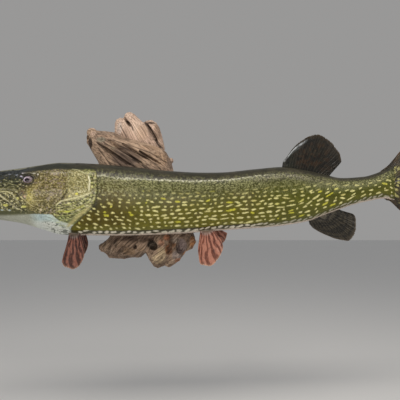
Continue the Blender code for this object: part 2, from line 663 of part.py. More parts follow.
def build_mouth(head, jaw):
    """The lips, the teeth, the tongue and the upper jaw bones, each joined to its jaw."""
    draw = random.Random(TOOTH_SEED)
    steps = 8
    easing = [math.sin(0.5 * math.pi * k / steps) for k in range(steps + 1)]
    upper_places = [UPPER_LIP[0] + (UPPER_LIP[1] - UPPER_LIP[0]) * share for share in easing]
    lower_places = [LOWER_LIP[0] + (LOWER_LIP[1] - LOWER_LIP[0]) * share for share in easing]
    flat = Vector((0.0, 0.0, 1.0))
    upper = [tube("upper_lip", lip_line(UPPER_RIM, upper_places, *UPPER_LIP_LEVELS), LIP_RADIUS, flat)]
    lower = [tube("lower_lip", lip_line(LOWER_RIM, lower_places, *LOWER_LIP_LEVELS), LIP_RADIUS, flat)]
    for side, sign in (("l", -1.0), ("r", 1.0)):
        upper += teeth_row("upper_tooth_" + side, UPPER_RIM, UPPER_TEETH, sign, -1.0, draw)
        upper += teeth_row("palate_tooth_" + side, UPPER_RIM, PALATE_TEETH, sign, -1.0, draw)
        lower += teeth_row("lower_tooth_" + side, LOWER_RIM, LOWER_TEETH, sign, 1.0, draw)
    tongue_y = middle_y(TONGUE_AT[0], TONGUE_AT[1])
    lower.append(ball("tongue", (TONGUE_AT[0], tongue_y, TONGUE_AT[1]), TONGUE_HALF, segments=12))
    join(head, upper)
    join(jaw, lower)


def build_head_parts(skins):
    """The head, the lower jaw, the gill covers and the eyes."""
    y_near, y_far = -0.30, 0.02
    left_side, right_side = (y_near, -0.150), (-0.118, y_far)
    head = body_loft("head", SNOUT_X, HEAD_END_X, proud=GILL_COVER_PROUD)
    jaw = body_loft("lower_jaw", SNOUT_X, HEAD_END_X, proud=GILL_COVER_PROUD)

    # The bones of the upper jaw lie on the sides of the head.
    maxillas = [
        skin_plate("maxilla_l", MAXILLA, *left_side, MAXILLA_RISE),
        skin_plate("maxilla_r", MAXILLA, *right_side, MAXILLA_RISE),
    ]
    join(head, maxillas)

    # Everything below the upper rim and in front of the slit leaves the head, and the lower jaw
    # keeps what lies below the lower rim.
    below = [*UPPER_RIM, *((x + GAP, z) for x, z in MOUTH_SLIT), (-0.42, -0.12)]
    boolean(head, prism("mouth_above_cut", below, y_near, y_far), "DIFFERENCE")
    jaw_side = [*LOWER_RIM, *MOUTH_SLIT, (-0.42, -0.12)]
    boolean(jaw, prism("mouth_below_cut", jaw_side, y_near, y_far), "INTERSECT")
    gill_line = curved(GILL_EDGE, OUTLINE_STEP, closed=False)
    behind = [(x - GAP, z) for x, z in gill_line] + [(0.0, -0.13), (0.0, 0.10)]
    gill_cut = prism("gill_edge_cut", behind, y_near, y_far)
    boolean(head, gill_cut, "DIFFERENCE")

    # The mouth's hollow between the jaws, down to the throat, and the hollow in the lower jaw.
    for name, at, half in (("throat_cut", THROAT_AT, THROAT_HALF), ("floor_cut", FLOOR_AT, FLOOR_HALF)):
        hollow = ball(name, (at[0], middle_y(*at), at[1]), half, "cutters", 16)
        boolean(head, hollow, "DIFFERENCE")
        boolean(jaw, hollow, "DIFFERENCE", "MANIFOLD")
    build_mouth(head, jaw)

    # Each gill cover is the outer shell of the head within its outline.
    covers = []
    edge = [(x - GAP, z) for x, z in gill_line if -0.09 < z < 0.05]
    outline = edge + curved(GILL_COVER_FRONT, OUTLINE_STEP, closed=False)[::-1]
    middle = sum((Vector(point) for point in outline), Vector((0.0, 0.0))) / len(outline)
    wider = (COVER_START_X - PAST, HEAD_END_X + PAST)
    wide = []
    for x, z in outline:
        away = (Vector((x, z)) - middle).normalized()
        wide.append((x + 2.0 * GAP * away.x, z + 2.0 * GAP * away.y))
    for side, sign, (low, high) in (("l", -1.0, left_side), ("r", 1.0, right_side)):
        cover = body_loft("gill_cover_" + side, COVER_START_X, HEAD_END_X, proud=GILL_COVER_PROUD)
        thick = GILL_COVER_THICK
        inner = body_loft("cover_inside_" + side, *wider, -thick, GILL_COVER_PROUD, "cutters")
        boolean(cover, prism("cover_outline_" + side, outline, low, high), "INTERSECT")
        boolean(cover, inner, "DIFFERENCE")
        deep = body_loft("cover_seat_" + side, *wider, -thick - GAP, GILL_COVER_PROUD, "cutters")
        seat = prism("cover_pocket_" + side, wide, low, high)
        boolean(seat, deep, "DIFFERENCE")
        boolean(head, seat, "DIFFERENCE")
        ridges = [skin_plate("opercle_" + side, OPERCLE, low, high, OPERCLE_RISE)]
        ridges += branchiostegals(side, sign)
        join(cover, ridges, "MANIFOLD")
        covers.append(cover)

    # The eyes in their sockets, each with its lid, and the nostrils in front of them.
    for side, sign in (("l", -1.0), ("r", 1.0)):
        x, z = EYE_AT
        place = on_skin(x, z, sign, EYE_SUNK)
        lid = []
        for k in range(LID_POINTS):
            turn = 2.0 * math.pi * k / LID_POINTS
            lid.append(on_skin(x + LID_HALF[0] * math.cos(turn), z + LID_HALF[1] * math.sin(turn), sign))
        join(head, [tube("lid_" + side, lid, LID_RADIUS, Vector((0.0, 1.0, 0.0)), closed=True)])
        eye = ball("eye_" + side, place, EYE_HALF, segments=16)
        socket = ball("eye_socket_" + side, place, [half + GAP for half in EYE_HALF], "cutters", 16)
        boolean(head, socket, "DIFFERENCE")
        for k, nostril in enumerate(NOSTRILS):
            bore = ball(f"nostril_{side}_{k}", on_skin(*nostril, sign), NOSTRIL_HALF, "cutters", 8)
            boolean(head, bore, "DIFFERENCE")
        finish(eye, skins["eye"])
    for item, coat in ((head, "head"), (jaw, "jaw"), (covers[0], "cover"), (covers[1], "cover")):
        finish(item, skins[coat])


def branchiostegals(side, sign):
    """The bony rays in the skin under the gill cover's plate."""
    rays = []
    steps = 4
    sideways = Vector((0.0, 1.0, 0.0))
    for k in range(BRANCHIOSTEGALS):
        start = Vector(BRANCHIOSTEGAL_START) + k * Vector(BRANCHIOSTEGAL_STEP[0])
        end = Vector(BRANCHIOSTEGAL_END) + k * Vector(BRANCHIOSTEGAL_STEP[1])
        line = []
        for i in range(steps + 1):
            at = start.lerp(end, i / steps)
            sag = BRANCHIOSTEGAL_SAG * math.sin(math.pi * i / steps)
            sunk = ROD_SUNK * BRANCHIOSTEGAL_RADIUS
            line.append(on_skin(at.x, at.y - sag, sign, sunk, GILL_COVER_PROUD))
        rays.append(tube(f"branchiostegal_{side}_{k}", line, BRANCHIOSTEGAL_RADIUS, sideways, 4))
    return rays


def build_trunk(skins):
    """The torso from the gill opening and the tail behind it."""
    torso = body_loft("torso", TORSO_START_X, TORSO_END_X)
    front = curved(GILL_EDGE, OUTLINE_STEP, closed=False) + [(-0.25, -0.13), (-0.25, 0.10)]
    boolean(torso, prism("torso_front_cut", front, -0.30, 0.02), "DIFFERENCE")
    stem = body_loft("tail_stem", TORSO_END_X + GAP, TAIL_END_X)
    finish(torso, skins["torso"])
    finish(stem, skins["torso"])


def fan(line, share):
    """The point at a share of the way along an open line of (x, z) points, curved smoothly."""
    place = share * (len(line) - 1)
    i = min(int(place), len(line) - 2)
    t = place - i
    points = [Vector(line[min(max(k, 0), len(line) - 1)]) for k in (i - 1, i, i + 1, i + 2)]
    return 0.5 * (
        2.0 * points[1]
        + (points[2] - points[0]) * t
        + (2.0 * points[0] - 5.0 * points[1] + 4.0 * points[2] - points[3]) * t * t
        + (3.0 * points[1] - points[0] - 3.0 * points[2] + points[3]) * t ** 3
    )


def fin(name, root, tips, rays, depth, rows=5):
    """A fin as a thin plate with a ridge for each ray: depth gives its middle's y at (x, z)."""
    columns = 2 * rays + 1
    near, far = [], []
    shape = bmesh.new()
    for i in range(columns):
        share = i / (columns - 1)
        start = Vector(root[0]).lerp(Vector(root[1]), share)
        end = fan(tips, share)
        for j in range(rows):
            way = j / (rows - 1)
            at = start.lerp(end, way)
            thick = FIN_ROOT_THICK + (FIN_TIP_THICK - FIN_ROOT_THICK) * way ** FIN_THINNING
            if i in (0, columns - 1):
                thick *= FIN_EDGE_SHARE
            half = 0.5 * thick + (RAY_RISE * (1.0 - RAY_LOSS * way) if i % 2 == 0 else 0.0)
            y = depth(at.x, at.y)
            near.append(shape.verts.new((at.x, y - half, at.y)))
            far.append(shape.verts.new((at.x, y + half, at.y)))

    def triangles(grid, flip):
        for i in range(columns - 1):
            for j in range(rows - 1):
                a, b = grid[i * rows + j], grid[(i + 1) * rows + j]
                c, d = grid[(i + 1) * rows + j + 1], grid[i * rows + j + 1]
                for tri in ((a, b, c), (a, c, d)):
                    shape.faces.new(tuple(reversed(tri)) if flip else tri)

    triangles(near, False)
    triangles(far, True)
    rim = [i * rows for i in range(columns)]
    rim += [(columns - 1) * rows + j for j in range(1, rows)]
    rim += [i * rows + rows - 1 for i in range(columns - 2, -1, -1)]
    rim += [j for j in range(rows - 2, 0, -1)]
    for k, now in enumerate(rim):
        after = rim[(k + 1) % len(rim)]
        shape.faces.new((near[now], near[after], far[after], far[now]))
    return mesh_object(name, shape)


def build_fins(skins):
    """The unpaired fins on the back, belly and tail, and the paired fins."""
    grown = body_loft("body_grown", TORSO_START_X, TAIL_END_X + GAP, grow=GAP, proud=0.0, place="cutters")

    def paired_depth(at, spread, sign):
        return lambda x, z: middle_y(*at) + sign * (spread[0] + (at[1] - z) * spread[1])

    dark = [
        fin("dorsal_fin", DORSAL_ROOT, DORSAL_TIPS, FIN_RAYS["dorsal"], middle_y, 6),
        fin("anal_fin", ANAL_ROOT, ANAL_TIPS, FIN_RAYS["anal"], middle_y, 6),
        fin("tail_fin_upper", TAIL_UPPER_ROOT, TAIL_UPPER_TIPS, FIN_RAYS["tail"], middle_y, 7),
        fin("tail_fin_lower", TAIL_LOWER_ROOT, TAIL_LOWER_TIPS, FIN_RAYS["tail"], middle_y, 7),
    ]
    red = []
    pectorals = {"l": (PECTORAL_ROOT, PECTORAL_TIPS), "r": (PECTORAL_FAR_ROOT, PECTORAL_FAR_TIPS)}
    pelvics = {"l": (PELVIC_ROOT, PELVIC_TIPS), "r": (PELVIC_FAR_ROOT, PELVIC_FAR_TIPS)}
    for side, sign in (("l", -1.0), ("r", 1.0)):
        depth = paired_depth(PECTORAL_AT, PECTORAL_SPREAD, sign)
        red.append(fin("pectoral_fin_" + side, *pectorals[side], FIN_RAYS["pectoral"], depth))
        depth = paired_depth(PELVIC_AT, PELVIC_SPREAD, sign)
        red.append(fin("pelvic_fin_" + side, *pelvics[side], FIN_RAYS["pelvic"], depth))
    for coat, items in (("dark_fin", dark), ("red_fin", red)):
        for item in items:
            boolean(item, grown, "DIFFERENCE")
            finish(item, skins[coat])


def pillow(name, outline, y_back, y_rim, y_front, rings=4):
    """A lump of wood: flat behind, with an upright rim and a domed front."""
    middle = sum((Vector(point) for point in outline), Vector((0.0, 0.0))) / len(outline)
    rows = [[Vector((x, y_back, z)) for x, z in outline]]
    for ring in range(rings):
        turn = 0.5 * math.pi * ring / rings
        shrink, lift = math.cos(turn), math.sin(turn)
        y = y_rim + (y_front - y_rim) * lift
        points = [middle + (Vector(point) - middle) * shrink for point in outline]
        rows.append([Vector((point.x, y, point.y)) for point in points])
    return loft(name, rows)


def build_driftwood(skins):
    """The driftwood: lumps joined to one body, flat behind, with a pocket where the fish sits."""
    wood = pillow("driftwood", CORE_OUTLINE, 0.0, -0.050, -0.075)
    lumps = [
        pillow("chunk", CHUNK_OUTLINE, -0.010, -0.055, -0.100),
        pillow("plate", PLATE_OUTLINE, -0.006, -0.030, -0.048),
        pillow("flake", FLAKE_OUTLINE, -0.004, -0.014, -0.030),
        pillow("knobs", KNOBS_OUTLINE, -0.008, -0.050, -0.080),
        pillow("lobe", LOBE_OUTLINE, -0.012, -0.050, -0.080),
        pillow("arch", ARCH_OUTLINE, -0.015, -0.040, -0.062),
    ]
    lumps += [ball(f"lump_{k}", at, half, segments=10) for k, (at, half) in enumerate(LUMPS)]
    join(wood, lumps)
    for k, (at, half) in enumerate(HOLLOWS):
        boolean(wood, ball(f"hollow_{k}", at, half, "cutters", 10), "DIFFERENCE")
    for k, furrow in enumerate(FURROWS):
        boolean(wood, log(f"furrow_{k}", *furrow), "DIFFERENCE")
    pocket = body_loft("fish_pocket", TORSO_START_X, TORSO_END_X, grow=2.0 * GAP, place="cutters")
    boolean(wood, pocket, "DIFFERENCE")
    finish(wood, skins["wood"])


def main():
    for item in list(bpy.data.objects):
        bpy.data.objects.remove(item)
    for name in ("mounted_pike", "cutters"):
        bpy.context.scene.collection.children.link(bpy.data.collections.new(name))
    skins = {
        "head": material("olive_head_skin", (0.13, 0.13, 0.045), 0.28),
        "jaw": material("pale_jaw_skin", (0.42, 0.44, 0.38), 0.30),
        "cover": material("gold_olive_cover_skin", (0.20, 0.19, 0.06), 0.28),
        "torso": material("olive_scaled_skin", (0.11, 0.12, 0.035), 0.30),
        "eye": material("pale_glass_eye", (0.55, 0.50, 0.58), 0.06),
        "dark_fin": material("dark_mottled_fin", (0.035, 0.032, 0.022), 0.30),
        "red_fin": material("red_brown_fin", (0.30, 0.10, 0.06), 0.35),
        "wood": material("grey_brown_driftwood", (0.26, 0.20, 0.15), 0.85),
    }
    build_head_parts(skins)
    build_trunk(skins)
    build_fins(skins)
    build_driftwood(skins)


main()
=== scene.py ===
"""A mounted northern pike on driftwood: its skin, scales, fins, eyes, teeth and wood over the frame.

Metres, +Z up. The fish's left side faces -Y and its snout points to -X.
"""

import json
import math
import random

import bmesh
import bpy
import numpy as np
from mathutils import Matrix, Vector

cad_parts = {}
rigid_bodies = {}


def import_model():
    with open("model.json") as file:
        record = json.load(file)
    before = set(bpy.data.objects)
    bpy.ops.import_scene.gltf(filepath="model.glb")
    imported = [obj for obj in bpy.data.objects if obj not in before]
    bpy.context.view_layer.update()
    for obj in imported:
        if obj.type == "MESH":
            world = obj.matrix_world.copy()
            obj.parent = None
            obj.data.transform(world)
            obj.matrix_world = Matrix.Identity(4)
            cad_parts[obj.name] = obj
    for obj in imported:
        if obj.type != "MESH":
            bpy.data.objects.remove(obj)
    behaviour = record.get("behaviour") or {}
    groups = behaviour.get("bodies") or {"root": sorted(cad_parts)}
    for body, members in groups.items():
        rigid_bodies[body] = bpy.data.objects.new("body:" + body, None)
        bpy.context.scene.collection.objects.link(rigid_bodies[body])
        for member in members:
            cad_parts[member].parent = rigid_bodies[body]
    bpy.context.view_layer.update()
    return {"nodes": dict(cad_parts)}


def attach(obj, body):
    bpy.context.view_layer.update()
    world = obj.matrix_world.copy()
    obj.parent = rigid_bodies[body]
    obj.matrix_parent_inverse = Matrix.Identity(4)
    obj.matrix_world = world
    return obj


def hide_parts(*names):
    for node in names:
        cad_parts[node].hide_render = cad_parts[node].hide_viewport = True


# the fish's own shape, from the snout to the root of the tail fin, as (x, value)
TOP_LINE = (
    (-.3688, -.0398), (-.3658, -.029), (-.3636, .004), (-.3611, .0135), (-.3559, .0215), (-.334, .0316),
    (-.3062, .037), (-.2412, .0468), (-.2093, .0518), (-.1597, .0586), (-.0889, .0566), (.0015, .0501),
    (.0751, .0433), (.14, .0406), (.1842, .0412), (.266, .0493), (.3295, .0549), (.3624, .0514), (.4268, .04),
    (.47, .0327), (.5295, .0376), (.5614, .0464), (.5862, .057), (.612, .07),
)
BELLY_LINE = (
    (-.3688, -.0412), (-.3649, -.0495), (-.3542, -.0565), (-.3385, -.0612), (-.2778, -.0697),
    (-.2507, -.0745), (-.2099, -.087), (-.1712, -.0981), (-.1347, -.1002), (-.0517, -.101), (.0898, -.0967),
    (.1973, -.0887), (.315, -.0802), (.3899, -.0681), (.4212, -.0566), (.4681, -.0399), (.501, -.0291),
    (.5347, -.0209), (.5882, -.0127), (.612, -.018),
)
HALF_WIDTH = (
    (-.3688, .002), (-.3679, .0095), (-.3658, .0165), (-.3619, .023), (-.3542, .03), (-.3396, .0355),
    (-.3095, .0395), (-.27, .0435), (-.244, .047), (-.2, .0535), (-.15, .0585), (-.11, .06), (-.06, .058),
    (.1, .054), (.2, .05), (.3, .0465), (.36, .042), (.42, .034), (.47, .0265), (.52, .021), (.56, .017),
    (.59, .0115), (.612, .0045),
)
WIDEST_SHARE = ((-.3688, .45), (-.3, .45), (-.24, .4), (-.15, .46), (0.0, .5), (.6, .5))
CROWN_POWER = ((-.3688, 2.6), (-.3, 2.5), (-.24, 2.3), (-.15, 2.3), (0.0, 2.3), (.6, 2.0))
BELLY_POWER = ((-.3688, 2.3), (-.24, 2.1), (-.15, 2.2), (0.0, 2.3), (.6, 2.0))
MIDDLE_Y = (
    (-.3688, -.15), (-.244, -.143), (-.0942, -.127), (.14, -.112), (.373, -.107), (.497, -.094),
    (.596, -.075), (.74, -.042),
)
BACK_LEAN = ((-.3688, .2), (.2, .18), (.6, .06), (.74, .04))
TAIL_END_X = .612

# the forms of the head's side view, as (x, z)
UPPER_RIM = ((-.42, .0001), (-.3618, .0001), (-.3359, -.0029), (-.3099, -.0065), (-.2934, -.0127))
LOWER_RIM = ((-.42, -.0315), (-.369, -.0335), (-.3359, -.0318), (-.3099, -.03), (-.2922, -.0285))
RIM_START = -.4
MOUTH_CORNER = (-.2828, -.0248)
MOUTH_SLIT = ((-.2828, -.0248), (-.2372, -.0454), (-.221, -.0615), (-.2161, -.0699))
GILL_EDGE = (
    (-.096, .1), (-.0896, .0532), (-.0799, .0306), (-.0764, .0123), (-.0757, -.0127), (-.0803, -.0309),
    (-.0903, -.0456), (-.1061, -.0599), (-.1282, -.0774), (-.1418, -.0907), (-.148, -.13),
)
GILL_PROUD = .0025
OPERCLE = (
    (-.1297, .0266), (-.1132, .0305), (-.0963, .0241), (-.0907, .0075), (-.0901, -.0117), (-.1031, -.0177),
    (-.1198, -.0236), (-.1452, -.029), (-.1411, -.0176), (-.1334, -.0035), (-.133, .0132),
)
PREOPERCLE = (
    (-.1358, .0306), (-.133, .0132), (-.1358, -.0044), (-.1446, -.0208), (-.1549, -.0317), (-.1697, -.0436),
    (-.186, -.0526), (-.1991, -.0636),
)
MAXILLA = (
    (-.35, .0011), (-.3123, -.0041), (-.28, -.0079), (-.2607, -.0088), (-.2468, -.0169), (-.2356, -.0263),
    (-.2279, -.0375), (-.2308, -.0467), (-.2407, -.0447), (-.2577, -.0334), (-.274, -.0268), (-.2885, -.0183),
    (-.3099, -.0088), (-.3359, -.0057),
)
BRANCHIOSTEGAL_START = (-.1585, -.039)
BRANCHIOSTEGAL_END = (-.0846, -.0182)
BRANCHIOSTEGAL_STEP = ((-.0051, -.0106), (-.0098, -.0142))
BRANCHIOSTEGALS = 9
EYE_AT = (-.2219, .0153)
EYE_HALF = (.0125, .01, .01)
EYE_SUNK = .0062
NOSTRILS = ((-.2437, .0248), (-.2498, .0253))
THROAT_AT = (-.298, -.0167)
THROAT_HALF = (.06, .029, .019)
FLOOR_AT = (-.315, -.0335)
FLOOR_HALF = (.042, .024, .011)
TONGUE_AT = (-.3064, -.04)
TONGUE_HALF = (.033, .011, .006)
SNOUT_BONES = (((-.342, .011), (-.258, .008)), ((-.335, .019), (-.273, .0255)))
JAW_PORES = 6

# the fins: root line, line of the ray tips, as (x, z), and the number of rays
FINS = {
    "dorsal_fin": (
        ((.3283, .0458), (.4356, .03)),
        ((.3315, .0686), (.3403, .0798), (.3545, .0996), (.3676, .1128), (.3843, .1234), (.4027, .1322),
        (.4152, .1328), (.4337, .1242), (.4533, .1109), (.4662, .0938), (.4725, .076), (.469, .0663),
        (.4573, .054)),
        19,
    ),
    "anal_fin": (
        ((.3918, -.0608), (.4556, -.0372)),
        ((.3955, -.0756), (.4056, -.0854), (.4246, -.0958), (.4425, -.1035), (.4588, -.1094), (.475, -.1129),
        (.4891, -.1153), (.4965, -.1125), (.5038, -.1036), (.5081, -.092), (.5092, -.0772), (.5092, -.0626),
        (.506, -.0548), (.4987, -.0499), (.4884, -.0477)),
        16,
    ),
    "tail_fin_upper": (
        ((.568, .04), (.608, .0262)),
        ((.576, .0545), (.59, .063), (.601, .072), (.6155, .088), (.6336, .109), (.668, .145), (.705, .174),
        (.733, .19), (.736, .179), (.728, .149), (.713, .114), (.694, .079), (.676, .053)),
        14,
    ),
    "tail_fin_lower": (
        ((.608, .0256), (.572, -.006)),
        ((.6755, .05), (.69, .021), (.706, -.01), (.719, -.043), (.726, -.076), (.723, -.087), (.7, -.08),
        (.665, -.064), (.64, -.05), (.6258, -.0398), (.615, -.03), (.604, -.0205), (.59, -.017)),
        14,
    ),
    "pectoral_fin_l": (
        ((-.1483, -.0946), (-.1262, -.0946)),
        ((-.1513, -.1174), (-.155, -.1338), (-.1576, -.1475), (-.1579, -.1595), (-.1521, -.1684),
        (-.1429, -.1724), (-.1337, -.1742), (-.1245, -.1703), (-.1181, -.1644), (-.1141, -.1555),
        (-.1118, -.144), (-.1133, -.1316), (-.1165, -.1187)),
        11,
    ),
    "pectoral_fin_r": (
        ((-.1495, -.0933), (-.1285, -.0933)),
        ((-.157, -.1142), (-.1574, -.1306), (-.1518, -.1446), (-.1414, -.1505), (-.1308, -.1458),
        (-.1247, -.1341), (-.1221, -.1212), (-.1228, -.1096)),
        11,
    ),
    "pelvic_fin_l": (
        ((.1411, -.0866), (.1672, -.0866)),
        ((.1368, -.1176), (.1355, -.1332), (.1371, -.1486), (.14, -.1632), (.1471, -.1677), (.1573, -.1697),
        (.1675, -.1671), (.1769, -.1586), (.1846, -.1486), (.1903, -.1371), (.1921, -.1254), (.1885, -.1125)),
        11,
    ),
    "pelvic_fin_r": (
        ((.1519, -.0838), (.1779, -.0826)),
        ((.1542, -.1121), (.1614, -.1311), (.1733, -.1382), (.1852, -.1311), (.1946, -.1204), (.2017, -.1086),
        (.2048, -.0956)),
        10,
    ),
}
FIN_ROOT_THICK = .0034
FIN_TIP_THICK = .001

# the outline of the wood's upper lobe, which decides the lie of its grain
CHUNK_OUTLINE = (
    (-.136, .1644), (-.1214, .1611), (-.0975, .1596), (-.075, .1563), (-.0491, .1446), (-.0249, .1367),
    (.0073, .1301), (.0475, .1153), (.0567, .1068), (.0659, .0894), (.0716, .0669), (.0793, .044),
    (.0577, .008), (-.0041, .0028), (-.0761, .0234), (-.1049, .0605), (-.1128, .0772), (-.1246, .096),
    (-.1361, .1153), (-.1445, .1283), (-.146, .1444), (-.1406, .1563),
)
# furrows and cracks of the wood: its line, half width and depth
WOOD_CRACKS = (
    (((-.004, .193), (.0082, .1784), (.02, .1588), (.0291, .1406), (.04, .1245)), .003, .0045),
    (((-.0511, .1942), (-.037, .1803), (-.0299, .1648)), .0016, .0025),
    (((-.0639, .1777), (-.0534, .1597), (-.043, .1417)), .001, .0006),
    (((-.1097, .1222), (-.0686, .0956), (-.0302, .0692), (-.0097, .0581)), .0014, .0018),
    (((-.0975, .1101), (-.0684, .086), (-.0441, .0572)), .0013, .0016),
    (((-.0881, .1174), (-.0498, .1004), (-.0067, .0764), (.0172, .0572)), .0013, .0015),
    (((-.05, .1101), (-.0165, .0968), (.0193, .0788), (.0456, .0572)), .0014, .0018),
    (((-.1069, .1077), (-.0873, .0836), (-.0726, .062)), .0012, .0014),
    (((-.0694, .1271), (-.0263, .1125), (.0215, .0956), (.0572, .0764)), .0012, .0012),
    (((-.0209, .0788), (.0006, .0668), (.0149, .0548)), .0014, .0014),
    (((-.0736, .1053), (-.0352, .0812), (-.0159, .062)), .0015, .0018),
)
# patches on the wood: middle, half sizes, colour and force; the dark ones of the lower wood are painted shade
# in its holes and gaps and under the fish, and the orange and warm tan ones round the arch are lamp light
# painted over the wood's own warm tone
WOOD_MARKS = (
    (.0253, -.1242, .0109, .0104, (30, 26, 20), .92), (-.0135, -.1275, .0028, .0034, (40, 32, 26), .75),
    (.0414, -.1563, .0154, .0119, (182, 164, 134), .8), (.0507, -.1401, .0119, .0095, (174, 156, 126), .7),
    (.065, -.1358, .0082, .011, (104, 60, 28), .85), (.0733, -.1228, .0086, .0086, (100, 66, 40), .8),
    (.0957, -.1289, .0101, .0157, (150, 138, 138), .8), (.0838, -.1503, .0106, .0111, (146, 136, 134), .75),
    (.0824, -.1135, .0087, .0068, (150, 138, 128), .7), (.1098, -.1485, .0098, .0083, (176, 120, 78), .7),
    (.1242, -.1197, .0073, .0147, (178, 124, 78), .75), (.092, -.1636, .0121, .0063, (168, 112, 78), .65),
    (-.0883, -.1272, .0119, .0109, (150, 132, 114), .75), (-.0786, -.1401, .0104, .0071, (138, 122, 106), .6),
    (-.0615, -.119, .0052, .0081, (44, 34, 26), .8), (-.0369, -.1087, .0237, .0052, (60, 46, 36), .8),
    (.0032, -.112, .0142, .0057, (58, 44, 34), .7), (-.0481, -.1389, .0076, .0047, (60, 48, 38), .6),
    (-.0269, -.1401, .0142, .0085, (128, 106, 82), .6), (.0003, -.1366, .0081, .0057, (130, 110, 88), .55),
    (.0476, -.118, .0072, .0072, (176, 126, 100), .6), (.0593, -.1062, .0081, .0072, (170, 110, 78), .6),
    (-.1285, .1236, .0057, .0123, (48, 38, 32), .92), (-.1215, .147, .0071, .0061, (196, 172, 156), .85),
    (-.0979, .1276, .0117, .0061, (122, 124, 110), .6), (-.0351, .08, .0327, .0131, (92, 78, 70), .75),
    (-.0696, .1378, .0327, .0047, (158, 134, 114), .6), (.0447, .0847, .0164, .0164, (160, 134, 110), .6),
    (.0206, .1101, .0235, .007, (156, 130, 108), .6), (-.0689, .1065, .0079, .0042, (176, 166, 142), .5),
    (-.0662, .17, .0074, .0147, (200, 190, 184), .6), (-.0057, .1597, .0147, .0197, (190, 164, 142), .6),
    (.0302, .167, .0086, .0227, (124, 104, 88), .7), (.0131, .1908, .0101, .0035, (40, 30, 24), .85),
)


def along(profile, x):
    """The smooth value at x of a profile of (x, value) pairs, level beyond its ends."""
    places, values = np.array(profile).T
    slopes = np.diff(values) / np.diff(places)
    before, after = slopes[:-1], slopes[1:]
    inner = np.where(before * after > 0.0, 2.0 * before * after / (before + after + 1e-30), 0.0)
    tangents = np.concatenate([slopes[:1], inner, slopes[-1:]])
    x = np.clip(np.asarray(x, float), places[0], places[-1])
    i = np.clip(np.searchsorted(places[1:], x, side="left"), 0, len(slopes) - 1)
    width = places[i + 1] - places[i]
    t = (x - places[i]) / width
    return (
        (1 + 2 * t) * (1 - t) ** 2 * values[i]
        + t * (1 - t) ** 2 * width * tangents[i]
        + t * t * (3 - 2 * t) * values[i + 1]
        + t * t * (t - 1) * width * tangents[i + 1]
    )


def ease(low, high, value):
    """0 below low, 1 above high and an even ease between. It runs down where low is above high."""
    t = np.clip((value - low) / (high - low), 0.0, 1.0)
    return t * t * (3.0 - 2.0 * t)


def bell(value, middle, width):
    """1 where a value is at the middle, falling smoothly to 0 some widths away."""
    return np.exp(-((value - middle) / width) ** 2)


def spot(x, z, middle, half):
    """A soft round spot of the side view, 1 at its middle."""
    return bell(x, middle[0], half[0]) * bell(z, middle[1], half[1])


def power(value, exponent):
    return np.sign(value) * np.abs(value) ** exponent


def lot(seed, *cells):
    """A repeatable random number from 0 to 1 for each cell of a lattice."""
    mixed = np.full(np.shape(cells[0]), seed * 2654435761 + 12345, np.uint64)
    for k, cell in enumerate(cells):
        mixed ^= cell.astype(np.int64).astype(np.uint64) * np.uint64((73856093, 19349663, 83492791)[k])
        mixed = (mixed ^ (mixed >> np.uint64(13))) * np.uint64(1274126177)
        mixed ^= mixed >> np.uint64(16)
    return (mixed & np.uint64(0xFFFFFF)).astype(float) / 0xFFFFFF


def noise(seed, *axes):
    """Smooth noise from -1 to 1 over 2 or 3 axes given in cells."""
    cells = [np.floor(a) for a in axes]
    shares = [a - c for a, c in zip(axes, cells)]
    shares = [s * s * s * (s * (s * 6 - 15) + 10) for s in shares]
    total = 0.0
    for corner in range(2 ** len(axes)):
        weight = 1.0
        at = []
        for k, (cell, share) in enumerate(zip(cells, shares)):
            step = (corner >> k) & 1
            weight = weight * (share if step else 1.0 - share)
            at.append(cell + step)
        total = total + weight * lot(seed, *at)
    return 2.0 * total - 1.0


def rough(seed, *axes, octaves=3):
    """Noise of several sizes together, from about -1 to 1."""
    total, weight = 0.0, 0.0
    for k in range(octaves):
        total = total + noise(seed + 7 * k, *[a * 2 ** k for a in axes]) * .5 ** k
        weight += .5 ** k
    return total / weight


def freckles(seed, u, v):
    """The distance to the nearest of one random point in each cell, and that point's own lot."""
    cu, cv = np.floor(u), np.floor(v)
    best = np.full(np.shape(u), 9.0)
    which = np.zeros(np.shape(u))
    for du in (-1, 0, 1):
        for dv in (-1, 0, 1):
            a, b = cu + du, cv + dv
            pu, pv = a + lot(seed, a, b), b + lot(seed + 1, a, b)
            far = np.hypot(u - pu, v - pv)
            nearer = far < best
            best = np.where(nearer, far, best)
            which = np.where(nearer, lot(seed + 2, a, b), which)
    return best, which


def bent(a, b, c, d, t):
    """The point a share t of the way from b to c, on a smooth curve that comes from a and goes on to d."""
    bow = (2.0 * a - 5.0 * b + 4.0 * c - d) * t * t + (3.0 * b - a - 3.0 * c + d) * t ** 3
    return b + .5 * ((c - a) * t + bow)


def curved(points, step, closed=True):
    """A line of the side view, curved smoothly through its points at an even step."""
    points = np.array(points, float)
    before, after = (points[-1:], points[:2]) if closed else (points[:1], points[-1:])
    ends = np.concatenate([before, points, after])
    line = []
    for a, b, c, d in zip(ends, ends[1:], ends[2:], ends[3:]):
        pieces = max(1, round(float(np.hypot(*(c - b))) / step))
        line += [bent(a, b, c, d, k / pieces) for k in range(pieces)]
    return np.array(line if closed else [*line, points[-1]])


def line_distance(line, x, z, closed=False):
    """How far each point of the side view lies from a line, and on which side of it."""
    best = np.full(np.shape(x), 9.0)
    side = np.zeros(np.shape(x))
    ends = np.roll(line, -1, axis=0) if closed else line[1:]
    for (ax, az), (bx, bz) in zip(line, ends):
        dx, dz = bx - ax, bz - az
        size = dx * dx + dz * dz + 1e-18
        t = np.clip(((x - ax) * dx + (z - az) * dz) / size, 0.0, 1.0)
        far = np.hypot(x - ax - t * dx, z - az - t * dz)
        nearer = far < best
        best = np.where(nearer, far, best)
        side = np.where(nearer, np.sign(dx * (z - az) - dz * (x - ax)), side)
    return best, side


